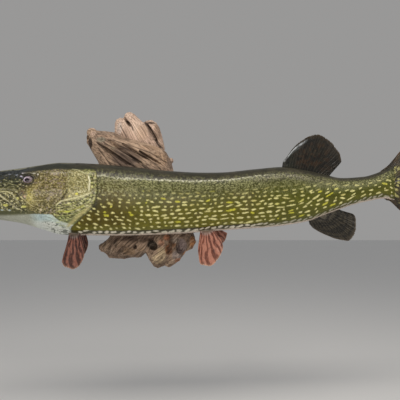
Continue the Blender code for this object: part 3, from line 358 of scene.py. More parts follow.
def outline_distance(outline, x, z):
    """The signed distance to a closed outline of the side view, negative inside."""
    best, _ = line_distance(outline, x, z, closed=True)
    inside = np.zeros(np.shape(x), bool)
    for (ax, az), (bx, bz) in zip(outline, np.roll(outline, -1, axis=0)):
        crosses = (az > z) != (bz > z)
        inside ^= crosses & (x < (bx - ax) * (z - az) / (bz - az + 1e-18) + ax)
    return np.where(inside, -best, best)


def middle_y(x, z):
    """The y of the fish's own middle plane, which leans and bends."""
    level = .5 * (along(TOP_LINE, x) + along(BELLY_LINE, x))
    return along(MIDDLE_Y, x) - (z - level) * along(BACK_LEAN, x)


def in_middle(at):
    """A point of the side view, placed in the fish's own middle plane."""
    return at[0], float(middle_y(np.array(at[0]), np.array(at[1]))), at[1]


def head_relief(x, z):
    """How far the side of the head stands out from the plain section."""
    rise = .0035 * spot(x, z, (-.2215, .033), (.026, .006))
    rise = rise - .003 * spot(x, z, EYE_AT, (.02, .0125))
    rise = rise - .002 * spot(x, z, (-.265, .015), (.025, .009))
    return rise + .002 * spot(x, z, (-.182, -.007), (.027, .022))


def body_point(x, turn, grow=0.0):
    """Points of the fish's skin: turn goes round the section from the back by the left side."""
    top = along(TOP_LINE, x) + grow
    bottom = along(BELLY_LINE, x) - grow
    widest = bottom + (top - bottom) * along(WIDEST_SHARE, x)
    up, out = np.cos(turn), np.sin(turn)
    exponent = 2.0 / np.where(up > 0.0, along(CROWN_POWER, x), along(BELLY_POWER, x))
    z = widest + np.where(up > 0.0, top - widest, widest - bottom) * power(up, exponent)
    half = along(HALF_WIDTH, x) + grow + head_relief(x, z)
    return np.stack([x + 0.0 * turn, middle_y(x, z) - half * power(out, exponent), z], axis=-1)


def body_normal(x, turn):
    """The outward direction of the skin there."""
    small = .0004
    along_x = body_point(x + small, turn) - body_point(x - small, turn)
    # At the very back and belly the section's turn stalls, so the step round it is wider.
    round_it = body_point(x, turn + .02) - body_point(x, turn - .02)
    normal = np.cross(round_it, along_x)
    return normal / (np.linalg.norm(normal, axis=-1, keepdims=True) + 1e-12)


def eye_distance(x, z):
    """How far a point of the side view lies from the eye's middle, 1 at its rim."""
    return np.hypot((x - EYE_AT[0]) / .0126, (z - EYE_AT[1]) / .01)


def above_rays(x, z):
    """How far a point lies above the edge from which the gill's rays spread."""
    return z + .0295 - .29 * (x + .148)


class Relief:
    """The fine forms of the head's sides over a point of the side view."""

    def __init__(self):
        self.gill = curved(GILL_EDGE, .004, closed=False)
        self.opercle = curved(OPERCLE, .004)
        self.preopercle = curved(PREOPERCLE, .004, closed=False)
        self.maxilla = curved(MAXILLA, .004)
        self.slit = curved(MOUTH_SLIT, .004, closed=False)
        rims = [[(RIM_START, rim[0][1]), *rim[1:], MOUTH_CORNER] for rim in (UPPER_RIM, LOWER_RIM)]
        self.upper_rim, self.lower_rim = (np.array(rim) for rim in rims)
        self.mouth = np.concatenate([self.upper_rim, self.lower_rim[::-1][1:]])
        self.rays = []
        shares = np.linspace(0.0, 1.0, 9)[:, None]
        for k in range(BRANCHIOSTEGALS):
            ends = zip((BRANCHIOSTEGAL_START, BRANCHIOSTEGAL_END), BRANCHIOSTEGAL_STEP)
            start, end = (np.array(at) + .5 * k * np.array(step) for at, step in ends)
            ray = start + (end - start) * shares
            ray[:, 1] -= .005 * np.sin(math.pi * shares[:, 0])
            self.rays.append(ray)

    def gill_front(self, x, z):
        """How far a point lies in front of the rear edge of the gill cover, negative behind it."""
        far, side = line_distance(self.gill, x, z)
        return -far * side

    def height(self, x, z):
        """How far the fine forms stand out there."""
        # the gill cover with its rolled rear edge, its plate and the bone in front of it
        front = self.gill_front(x, z)
        level = 1.0 - ease(.034, .05, z)
        rise = GILL_PROUD * ease(-.17, -.1, x) * ease(.0002, .0026, front) * level
        rise = rise + .0006 * bell(front, .0035, .0022) * level * (x > -.16)
        plate = outline_distance(self.opercle, x, z)
        rise = rise + .0013 * ease(.001, -.0024, plate) + .0005 * bell(plate, -.0022, .0016)
        far, side = line_distance(self.preopercle, x, z)
        rise = rise - .0013 * bell(far, 0.0, .0014) + .0007 * bell(far, .0032, .0022) * (side < 0)
        # the bone along the upper lip, the gill's rays and the slit behind the mouth
        plate = outline_distance(self.maxilla, x, z)
        rise = rise + .0015 * ease(.0008, -.0022, plate)
        rise = rise - .0007 * bell(plate, .0014, .0012) - .0006 * bell(plate, -.005, .0016)
        rays = np.min([line_distance(ray, x, z)[0] for ray in self.rays], axis=0)
        under = ease(-.003, -.008, above_rays(x, z)) * (front > .002)
        rise = rise + .0011 * bell(rays, 0.0, .0016) * under
        far, _ = line_distance(self.slit, x, z)
        rise = rise - .0016 * bell(far, 0.0, .0014) + .001 * bell(far, .0038, .0022)
        for rim, size in ((self.upper_rim, .0014), (self.lower_rim, .0018)):
            far, _ = line_distance(rim, x, z)
            rise = rise + size * np.sqrt(np.clip(1.0 - (far / .0034) ** 2, 0.0, 1.0))
        # the eye's lids and the folds round them
        away = eye_distance(x, z)
        brow = ease(.2, .9, (z - EYE_AT[1]) / .013)
        for size, middle, width in (
            (.0021, 1.06, .13), (-.0006, 1.34, .1), (.0006, 1.55, .12), (.0016 * brow, 1.3, .16),
        ):
            rise = rise + size * bell(away, middle, width)
        for nx, nz in NOSTRILS:
            far = np.hypot(x - nx, (z - nz) * 1.1)
            rise = rise - .003 * bell(far, 0.0, .0016) + .0008 * bell(far, .003, .0009)
        # a row of pores along the lower jaw, and long bones in the side of the snout
        for k in range(JAW_PORES):
            far = np.hypot(x + .35 - .02 * k, z + .045 + .0022 * k)
            rise = rise - .0011 * bell(far, 0.0, .0012)
        for bone in SNOUT_BONES:
            rise = rise + .0008 * bell(line_distance(np.array(bone), x, z)[0], 0.0, .0024)
        return rise + .0003 * rough(31, x * 210.0, z * 260.0) * ease(-.085, -.11, x)


def section(x, z, relief):
    """For points of the side view: the side's height share and power, and its half width."""
    top, bottom = along(TOP_LINE, x), along(BELLY_LINE, x)
    widest = bottom + (top - bottom) * along(WIDEST_SHARE, x)
    up = (z - widest) / np.where(z > widest, top - widest, widest - bottom)
    exponent = np.where(up > 0.0, along(CROWN_POWER, x), along(BELLY_POWER, x))
    return up, exponent, along(HALF_WIDTH, x) + head_relief(x, z) + relief


def side_point(x, z, sign, forms):
    """Points of the head's skin at (x, z) of the side view: sign -1 on the left side, 1 on the right."""
    up, exponent, half = section(x, z, forms.height(x, z))
    out = np.clip(1.0 - np.abs(up) ** exponent, 0.0, 1.0) ** (1.0 / exponent)
    return np.stack([x, middle_y(x, z) + sign * half * out, z], axis=-1)


def eye_place(sign):
    """The middle of an eye."""
    x, z = EYE_AT
    up, exponent, half = section(np.array(x), np.array(z), 0.0)
    out = (1.0 - abs(up) ** exponent) ** (1.0 / exponent)
    return x, in_middle(EYE_AT)[1] + sign * (float(half * out) - EYE_SUNK), z


def new_mesh(name, verts, faces):
    """An object of points and of faces, which are arrays of equally many corners each."""
    mesh = bpy.data.meshes.new(name)
    verts = np.asarray(verts, np.float32)
    groups = [np.asarray(group, np.int32) for group in faces]
    corners = np.concatenate([group.ravel() for group in groups])
    sizes = np.concatenate([np.full(len(group), group.shape[1], np.int32) for group in groups])
    mesh.vertices.add(len(verts))
    mesh.vertices.foreach_set("co", verts.ravel())
    mesh.loops.add(len(corners))
    mesh.loops.foreach_set("vertex_index", corners)
    mesh.polygons.add(len(sizes))
    mesh.polygons.foreach_set("loop_start", np.concatenate([[0], np.cumsum(sizes)[:-1]]).astype(np.int32))
    mesh.polygons.foreach_set("use_smooth", np.full(len(sizes), True))
    mesh.update(calc_edges=True)
    mesh.validate()
    item = bpy.data.objects.new(name, mesh)
    bpy.context.scene.collection.objects.link(item)
    return item


def turn_out(item):
    """Turns an object's faces outwards."""
    bm = bmesh.new()
    bm.from_mesh(item.data)
    bmesh.ops.recalc_face_normals(bm, faces=bm.faces[:])
    bm.to_mesh(item.data)
    bm.free()


def hoops(rings, sides, start=0):
    """The quads between rings of equally many points."""
    i, k = np.meshgrid(np.arange(rings - 1), np.arange(sides), indexing="ij")
    a, b = start + i * sides + k, start + i * sides + (k + 1) % sides
    return np.stack([a, b, b + sides, a + sides], axis=-1).reshape(-1, 4)


def set_paint(item, colours, coat):
    """A colour for each point of the mesh, as linear red, green and blue, and its material."""
    layer = item.data.color_attributes.new("paint", "FLOAT_COLOR", "POINT")
    four = np.ones((len(colours), 4), np.float32)
    four[:, :3] = np.clip(colours, 0.0, 1.0)
    layer.data.foreach_set("color", four.ravel())
    item.data.materials.append(coat)


def net(field, origin, step):
    """A mesh of quads round the negative part of a field on an even grid."""
    inside = field < 0.0
    cut = tuple(slice(0, n - 1) for n in field.shape)
    shifts = [(i, j, k) for i in (0, 1) for j in (0, 1) for k in (0, 1)]
    count = np.zeros([n - 1 for n in field.shape], np.int8)
    for shift in shifts:
        count += inside[tuple(slice(s.start + d, s.stop + d) for s, d in zip(cut, shift))]
    cells = np.argwhere((count > 0) & (count < 8))
    index = np.full(count.shape, -1, np.int64)
    index[tuple(cells.T)] = np.arange(len(cells))
    total = np.zeros((len(cells), 3))
    number = np.zeros(len(cells))
    for a in shifts:
        for b in shifts:
            if sum(b) - sum(a) != 1 or any(q < p for p, q in zip(a, b)):
                continue
            fa = field[tuple((cells + a).T)]
            fb = field[tuple((cells + b).T)]
            crosses = (fa < 0.0) != (fb < 0.0)
            t = np.where(crosses, fa / np.where(crosses, fa - fb, 1.0), 0.0)
            total += crosses[:, None] * (np.array(a) + t[:, None] * (np.array(b) - np.array(a)))
            number += crosses
    verts = np.array(origin) + step * (cells + total / number[:, None])
    quads = []
    for axis in range(3):
        b, c = (axis + 1) % 3, (axis + 2) % 3
        low = [slice(1, n - 1) for n in field.shape]
        low[axis] = slice(0, field.shape[axis] - 1)
        high = list(low)
        high[axis] = slice(1, field.shape[axis])
        first, second = inside[tuple(low)], inside[tuple(high)]
        for out, wanted in ((True, first & ~second), (False, ~first & second)):
            at = np.argwhere(wanted)
            at += [s.start for s in low]
            four = []
            for db, dc in ((-1, -1), (0, -1), (0, 0), (-1, 0)):
                cell = at.copy()
                cell[:, b] += db
                cell[:, c] += dc
                four.append(index[tuple(cell.T)])
            quads.append(np.stack(four if out else four[::-1], axis=1))
    return verts, np.concatenate(quads)


def srgb(red, green, blue):
    """A picture's colour value as linear light."""
    value = np.array([red, green, blue], float) / 255.0
    return np.where(value <= .04045, value / 12.92, ((value + .055) / 1.055) ** 2.4)


def mix(a, b, share):
    share = np.asarray(share)[..., None]
    return a * (1.0 - share) + b * share


def between(first, second, share):
    """A colour between two picture colours."""
    return mix(srgb(*first), srgb(*second), share)


def layered(colour, *coats):
    """A colour under coats of paint, each a picture colour and how fully it covers."""
    for tint, share in coats:
        colour = mix(colour, srgb(*tint), share)
    return colour


def gradient(value, *stops):
    """Colours along a value, from (value, picture colour) pairs."""
    places = [place for place, _ in stops]
    colours = np.array([srgb(*colour) for _, colour in stops])
    return np.stack([np.interp(value, places, colours[:, k]) for k in range(3)], axis=-1)


# the rows of bars on the flank, and the line under the back along which a highlight is painted
ROWS = 12
ROW_LOW = .016
ROW_STEP = .0086
CHAIN_AT = .0066
SHINE_LINE = (
    (-.098, .029), (-.07, .03), (-.035, .0325), (0.0, .031), (.03, .0288), (.1, .0252), (.17, .0225),
    (.28, .0198), (.385, .0156), (.45, .0115), (.6, .008),
)


def make_spots(side):
    """The rows of pale bars on a flank: the x, half length, rise, tone, half height and tilt of each."""
    draw = random.Random(17 + side)
    rows = []
    for row in range(ROWS + 1):
        chain = row == ROWS
        x = -.125 + .009 * (row % 2) + draw.uniform(-.004, .004)
        fade = 1.0 - .4 * max(0.0, (row - 5) / 5.0)
        marks = []
        while x < .61:
            front = max(0.0, min(1.0, (.07 - x) / .1))
            rear = max(0.0, min(1.0, (x - .31) / .09))
            kind = draw.random()
            half = draw.uniform(.0034, .0072) * fade * (1.0 - .3 * front)
            thick = draw.uniform(.0014, .0022) * (.5 + .5 * fade) * (1.0 + .12 * front + .1 * rear)
            if kind < .25 + .15 * front:
                half = draw.uniform(.0016, .0028)
            elif kind > .93:
                half *= 1.6
            tilt = draw.gauss(.04 - .24 * front, .14)
            if chain:
                half = draw.uniform(.004, .0078)
                thick = draw.uniform(.0016, .0026)
                tilt = draw.gauss(.22, .14)
            x += half
            rise = draw.gauss(0.0, .001 + .0008 * max(front, rear))
            marks.append((x, half, rise, draw.random(), thick, tilt))
            x += half + draw.uniform(.004, .009) * (.5 if chain else 1.0 + .6 * front + .7 * rear)
        rows.append(np.array(marks))
    return rows


SPOTS = {-1: make_spots(-1), 1: make_spots(1)}


def bars(marks, x, rise):
    """How fully each point lies in one of a row's bars, and that bar's tone."""
    found = np.zeros(len(x))
    tones = np.zeros(len(x))
    nearest = np.clip(np.searchsorted(marks[:, 0], x), 1, len(marks) - 1)
    for pick in (nearest - 1, nearest):
        mx, half, own_rise, own, thick, tilt = marks[pick].T
        dx = (x - mx) / half
        dz = (rise - own_rise - np.clip(tilt * (x - mx), -.0022, .0022)) / thick
        edge = (np.abs(dx) ** 2.4 + np.abs(dz) ** 2.2) ** (1.0 / 2.3)
        edge = edge + .26 * noise(13, x * 430.0, rise * 430.0)
        inside = ease(1.2, .78, edge)
        tones = np.where(inside > found, own, tones)
        found = np.maximum(found, inside)
    return found, tones


def trunk_paint(x, z, side):
    """The colours of the body's side: dark back, olive flank with pale bars, marbled edge, white belly,
    painted highlights and a painted shadow.
    """
    top, bottom = along(TOP_LINE, x), along(BELLY_LINE, x)
    deep = z - bottom
    h = np.clip(deep / (top - bottom), 0.0, 1.0)
    sided = side + 0.0 * x
    colour = gradient(
        h + .016 * rough(3, x * 60.0, h * 9.0, 5.0 * sided),
        (0.0, (95, 93, 34)), (.14, (93, 89, 22)), (.3, (87, 83, 19)), (.5, (74, 73, 22)),
        (.66, (62, 62, 24)), (.8, (60, 62, 32)), (1.0, (62, 62, 38)),
    )
    under = (top - z) / along(SHINE_LINE, x) + .1 * rough(71, x * 240.0, z * 240.0)
    dusky = between((50, 49, 40), (60, 57, 46), ease(-.3, .4, rough(73, x * 60.0, z * 200.0)))
    colour = mix(colour, dusky, ease(1.04, .86, under))
    # a gold front flank, a painted shadow on the body just behind the gill cover's rear edge, and a greener
    # rear flank
    gold = ease(.03, -.05, x) * ease(.06, .18, h) * ease(.8, .55, h)
    gill_cover_shadow = bell(x, -.087, .016) * ease(.25, .4, h) * ease(1.1, 1.3, under)
    green = ease(.22, .36, x) * ease(.8, .6, h) * ease(1.0, 1.1, under)
    colour = layered(
        colour, ((72, 62, 0), .88 * gold), ((32, 34, 8), .85 * gill_cover_shadow), ((72, 78, 24), .5 * green),
    )
    # clouds of darker and lighter olive
    colour = colour * (1.0 + .2 * rough(5, x * 30.0, h * 7.0, 3.0 * sided))[..., None]
    mauve = ease(.25, .55, noise(29, x * 45.0, z * 90.0, 3.0 * sided))
    mauve = mauve * ease(.7, .6, h) * ease(.2, .3, h) * ease(-.07, 0.0, x) * ease(.3, .24, x)
    # pale dots on the upper flank, partly the skin's flecks and partly painted glints; a painted highlight
    # line under the back; a duller hump with painted glints; a painted sheen in front
    far, own = freckles(33, x / .0042, z / .0024 + 20.0 * (side > 0))
    dots = ease(.46, .26, far) * (own > .35) * ease(.98, 1.06, under)
    dots = dots * ease(.6, .7, h + .09 * ease(.02, -.03, x))
    line = bell(under, 1.0, .06) * ease(.66, .3, far) * ease(-.13, -.09, x) * ease(.32, .27, x)
    hump = ease(.24, .3, x) * ease(.47, .41, x)
    dull = hump * ease(.95, 1.05, under) * ease(2.1, 1.6, under)
    specks = hump * ease(.4, .24, far) * (own > .25) * bell(under, 1.35, .3)
    sheen = bell(under, 1.25, .22) * ease(.02, -.03, x) * ease(.6, .3, far)
    colour = layered(
        colour,
        ((92, 84, 54), .3 * mauve),
        ((164, 164, 120), (.7 - .35 * hump) * dots),
        ((220, 220, 196), .85 * line),
        ((60, 58, 42), .55 * dull),
        ((166, 158, 136), .55 * specks),
        ((148, 142, 122), .36 * sheen),
    )
    # the rows of bars
    row = np.clip(np.rint((deep - ROW_LOW) / ROW_STEP), 0, ROWS - 1).astype(int)
    amount, tone = np.zeros(len(x)), np.zeros(len(x))
    for k in range(ROWS):
        here = row == k
        amount[here], tone[here] = bars(SPOTS[side][k], x[here], deep[here] - ROW_LOW - ROW_STEP * k)
    limit = .66 + .12 * ease(.33, .42, x) - .05 * ease(0.0, -.06, x)
    reach = ease(limit + .02, limit - .05, h) * ease(.0095, .0125, deep)
    strength = (.5 + .5 * ease(limit, limit - .22, h)) * reach
    cream = between((202, 198, 136), (186, 182, 62), ease(.9, .95, tone))
    bright = ease(.42, .25, h) * ease(.9, .85, tone)
    cream = layered(cream, ((176, 166, 96), .7 * ease(.35, .1, tone)), ((222, 216, 156), .6 * bright))
    colour = mix(colour, cream, .94 * amount * strength)
    # the chain of white blobs with dark skin between them, and the pale belly
    blob, _ = bars(SPOTS[side][ROWS], x, deep - CHAIN_AT)
    back = ease(.32, .24, x)
    zone = ease(.0022, .0036, deep) * ease(.0115, .0095, deep)
    belly = ease(.004, .002, deep + .001 * noise(9, x * 150.0, z * 150.0))
    return layered(
        colour,
        ((44, 40, 24), (.35 + .5 * back) * zone),
        ((210, 204, 186), .9 * blob * ease(.012, .01, deep) * (.55 + .45 * back)),
        ((190, 176, 164), belly),
    )


def trunk_colours(points, side):
    """The body's colours at points whose side is -1 on the left and 1 on the right."""
    colour = np.empty((len(points), 3))
    for sign in (-1, 1):
        here = side == sign
        colour[here] = trunk_paint(points[here, 0], points[here, 2], sign)
    return colour


# pale lines on the head, the grey arc highest over the eye being a painted highlight of the brow: the line,
# half width, colour and force
PALE_LINES = (
    (((-.2798, -.0102), (-.2708, -.009), (-.2605, -.0103), (-.2513, -.0166), (-.2467, -.0222)),
     .001, (190, 186, 146), .85),
    (((-.2338, -.0223), (-.2227, -.0313), (-.2098, -.0402)), .0009, (196, 186, 140), .85),
    (((-.28, -.0164), (-.2714, -.0235), (-.2615, -.031), (-.253, -.038), (-.2468, -.044)),
     .0016, (176, 172, 144), .85),
    (((-.2816, -.0329), (-.275, -.0431), (-.2657, -.0493)), .0009, (150, 150, 140), .5),
    (((-.1612, -.0373), (-.1505, -.0297), (-.1373, -.0267), (-.1201, -.0233), (-.1073, -.0193),
          (-.09, -.0128)), .0012, (232, 228, 186), .97),
    (((-.0943, .0225), (-.0911, .0131), (-.0916, -.006)), .0012, (226, 224, 196), .95),
    (((-.1311, .0388), (-.1191, .0376), (-.1055, .0306), (-.0953, .024)), .0009, (180, 180, 144), .65),
    (((-.2097, -.0095), (-.204, -.0025), (-.1951, .005), (-.1899, .011)), .0012, (176, 168, 124), .6),
    (((-.1386, -.0052), (-.1455, -.014), (-.1509, -.0211)), .0007, (170, 166, 110), .6),
    (((-.1605, -.0365), (-.1555, -.0314), (-.1504, -.028)), .0008, (190, 186, 130), .7),
    (((-.2775, .0067), (-.2602, .0119), (-.2389, .0135)), .0006, (120, 122, 92), .55),
    (((-.2755, -.0029), (-.2616, .0078), (-.2393, .0022)), .0007, (150, 148, 110), .6),
    (((-.2797, -.0039), (-.2626, -.0032), (-.2366, -.0084)), .0008, (150, 146, 108), .6),
    (((-.2304, .0297), (-.2196, .0314), (-.2086, .0274)), .0007, (130, 128, 118), .7),
    (((-.2282, .0247), (-.2205, .0263), (-.2092, .0227)), .0006, (120, 116, 110), .55),
    (((-.1455, -.0455), (-.1209, -.0413), (-.1059, -.036), (-.0914, -.0288)), .0009, (150, 150, 92), .7),
    (((-.1585, -.0511), (-.1378, -.0506), (-.1209, -.046), (-.104, -.0385)), .0011, (164, 164, 60), .7),
    (((-.1677, -.0572), (-.1515, -.0603), (-.1263, -.0571), (-.1046, -.0471)), .001, (156, 160, 100), .75),
    (((-.1531, -.0683), (-.1316, -.065), (-.1136, -.0546)), .0013, (178, 176, 130), .6),
    (((-.1489, -.0367), (-.1283, -.0341), (-.1076, -.0288), (-.0912, -.0218)), .0008, (140, 142, 84), .6),
)
# dark lines on the head, the arc over the eye being a painted shadow of the lid: the line, half width and
# force
DARK_LINES = (
    (((-.1369, -.0052), (-.1413, -.016), (-.1482, -.0235), (-.1531, -.032), (-.1581, -.0392)), .001, .9),
    (((-.2799, -.0131), (-.2672, -.0194), (-.2545, -.0261), (-.2445, -.0364), (-.237, -.0445)), .001, .75),
    (((-.2803, -.0214), (-.2682, -.0317), (-.2586, -.0404)), .0009, .6),
    (((-.2093, .0158), (-.2091, .0105), (-.2125, .0063)), .0012, .8),
    (((-.2314, .0235), (-.2232, .028), (-.2139, .027), (-.2082, .0222)), .0012, .9),
    (((-.2799, .0018), (-.263, .0024), (-.2411, -.0033)), .001, .6),
    (((-.2755, -.0064), (-.2604, -.0061), (-.2475, -.0112), (-.2367, -.0175)), .001, .6),
    (((-.1515, -.0439), (-.1329, -.0428), (-.1179, -.0396), (-.1033, -.0329), (-.0913, -.0259)), .001, .75),
    (((-.1543, -.0558), (-.1385, -.0563), (-.125, -.0536), (-.104, -.0442)), .0009, .75),
    (((-.1486, -.0321), (-.1281, -.0306), (-.1116, -.0268), (-.0911, -.0183)), .001, .7),
    (((-.0884, .0242), (-.0831, .0068), (-.0821, -.01), (-.0872, -.0267)), .0014, .45),
)
# pale marks on the head, the lilac ones before the eye and the pale grey and bluish ones along the brow and
# the top of the snout being painted glints and highlights: middle, half sizes and colour
MARKS = (
    (-.1318, -.0193, .004, .0028, (206, 200, 130)), (-.117, -.0146, .0048, .0034, (210, 204, 84)),
    (-.1935, -.047, .005, .0042, (190, 180, 148)), (-.2701, -.0375, .0095, .0038, (184, 182, 96)),
    (-.2296, -.0407, .0085, .0036, (188, 188, 108)), (-.2422, -.0237, .0046, .0034, (186, 186, 110)),
    (-.2808, -.0472, .005, .0022, (176, 190, 190)), (-.2638, -.0477, .005, .0022, (176, 188, 184)),
    (-.2372, .0231, .0044, .0022, (176, 172, 196)), (-.2335, .0205, .003, .0034, (150, 146, 168)),
    (-.2092, .0296, .0056, .0016, (186, 184, 170)), (-.2345, .0298, .0044, .0015, (176, 174, 180)),
    (-.2478, .0262, .0052, .0016, (128, 134, 150)), (-.264, .0282, .006, .0014, (112, 116, 124)),
    (-.244, .0118, .0056, .0012, (146, 148, 118)), (-.2702, .0052, .004, .0034, (140, 140, 112)),
    (-.2317, .0304, .0046, .0012, (150, 148, 150)), (-.2009, .0269, .0026, .003, (196, 190, 178)),
    (-.2232, .0021, .0014, .002, (190, 186, 150)), (-.2267, -.0197, .0034, .0036, (188, 160, 138)),
    (-.1348, -.0341, .0046, .003, (210, 206, 150)), (-.109, -.0338, .0046, .0026, (206, 204, 160)),
    (-.1224, -.0394, .004, .002, (196, 196, 130)), (-.0964, -.038, .0044, .0026, (196, 192, 146)),
    (-.1157, -.0476, .0046, .0026, (206, 204, 160)), (-.1016, -.0248, .0034, .002, (200, 200, 150)),
    (-.0903, -.0263, .0034, .0026, (190, 192, 150)), (-.1661, -.0564, .0024, .0024, (190, 196, 130)),
    (-.1391, -.0512, .01, .003, (172, 176, 74)), (-.1925, -.0282, .007, .0016, (170, 162, 116)),
    (-.175, -.0233, .005, .005, (140, 130, 112)), (-.1936, .0224, .003, .003, (160, 154, 120)),
    (-.1615, .0276, .0026, .0026, (156, 150, 112)), (-.0788, -.0112, .0026, .003, (180, 184, 140)),
    (-.0898, -.0392, .003, .003, (176, 170, 124)),
)
# the upper edge of the pale chin
CHIN_EDGE = (
    (-.37, -.05), (-.3, -.057), (-.287, -.0578), (-.25, -.0572), (-.22, -.056), (-.186, -.0562),
    (-.172, -.058), (-.166, -.0635), (-.16, -.069), (-.148, -.0735), (-.13, -.0785),
)
# the kind of flecks that are drawn out along the snout
LONG_FLECKS = 6


def chin_paint(x, z, over):
    """The pale chin and throat with its dark worm lines, over being the height above the chin's edge."""
    pale = gradient(
        x,
        (-.3, (140, 142, 130)), (-.225, (152, 156, 144)), (-.2, (160, 178, 180)),
        (-.178, (172, 190, 188)), (-.16, (178, 188, 178)), (-.13, (196, 204, 198)),
    )
    worm = np.abs(noise(53, x * 190.0 + .7 * noise(55, x * 300.0, z * 300.0), z * 300.0))
    worm = ease(.32, .16, worm) * ease(-.002, -.01, over)
    worm = worm * ease(-.205, -.185, x) * ease(-.125, -.145, x)
    return layered(
        pale,
        ((194, 196, 190), .8 * ease(-.01, -.019, over) * ease(-.24, -.19, x)),
        ((78, 84, 76), .85 * worm),
    )


def flecked(colour, points, side, h, calm, kinds):
    """Flecks over the head, each kind as size, colour, width, force and where it is."""
    x, y, z = points.T
    # a height that goes on across the crown
    wrapped = z - .9 * np.abs(y - middle_y(x, z)) * ease(.8, .9, h)
    for k, (size, tint, wide, force, where) in enumerate(kinds):
        stretch = 2.2 if k == LONG_FLECKS else 1.3
        u = x / (size * stretch) + .6 * noise(91, x * 120.0, wrapped * 120.0)
        far, own = freckles(60 + 5 * k, u, wrapped / size + 40.0 * (side > 0))
        edge = wide * (.7 + .6 * own)
        share = force * ease(edge, edge - .18, far) * where * ease(.15, .4, own) * calm
        colour = mix(colour, srgb(*tint), share)
    return colour


def drawn(colour, x, z, grain):
    """The lines and marks that sit on the head one by one."""
    for line, width, force in DARK_LINES:
        far, _ = line_distance(np.array(line), x, z)
        colour = mix(colour, srgb(26, 26, 14), force * bell(far, 0.0, width))
    for line, width, tint, force in PALE_LINES:
        far, _ = line_distance(np.array(line), x, z)
        colour = mix(colour, srgb(*tint), force * bell(far, 0.0, width) * (.85 + .25 * grain))
    for mx, mz, ax, az, tint in MARKS:
        far = np.hypot((x - mx) / ax, (z - mz) / az) * 1.6 + .25 * grain
        colour = mix(colour, srgb(*tint), .9 * ease(1.3, .7, far))
    return colour


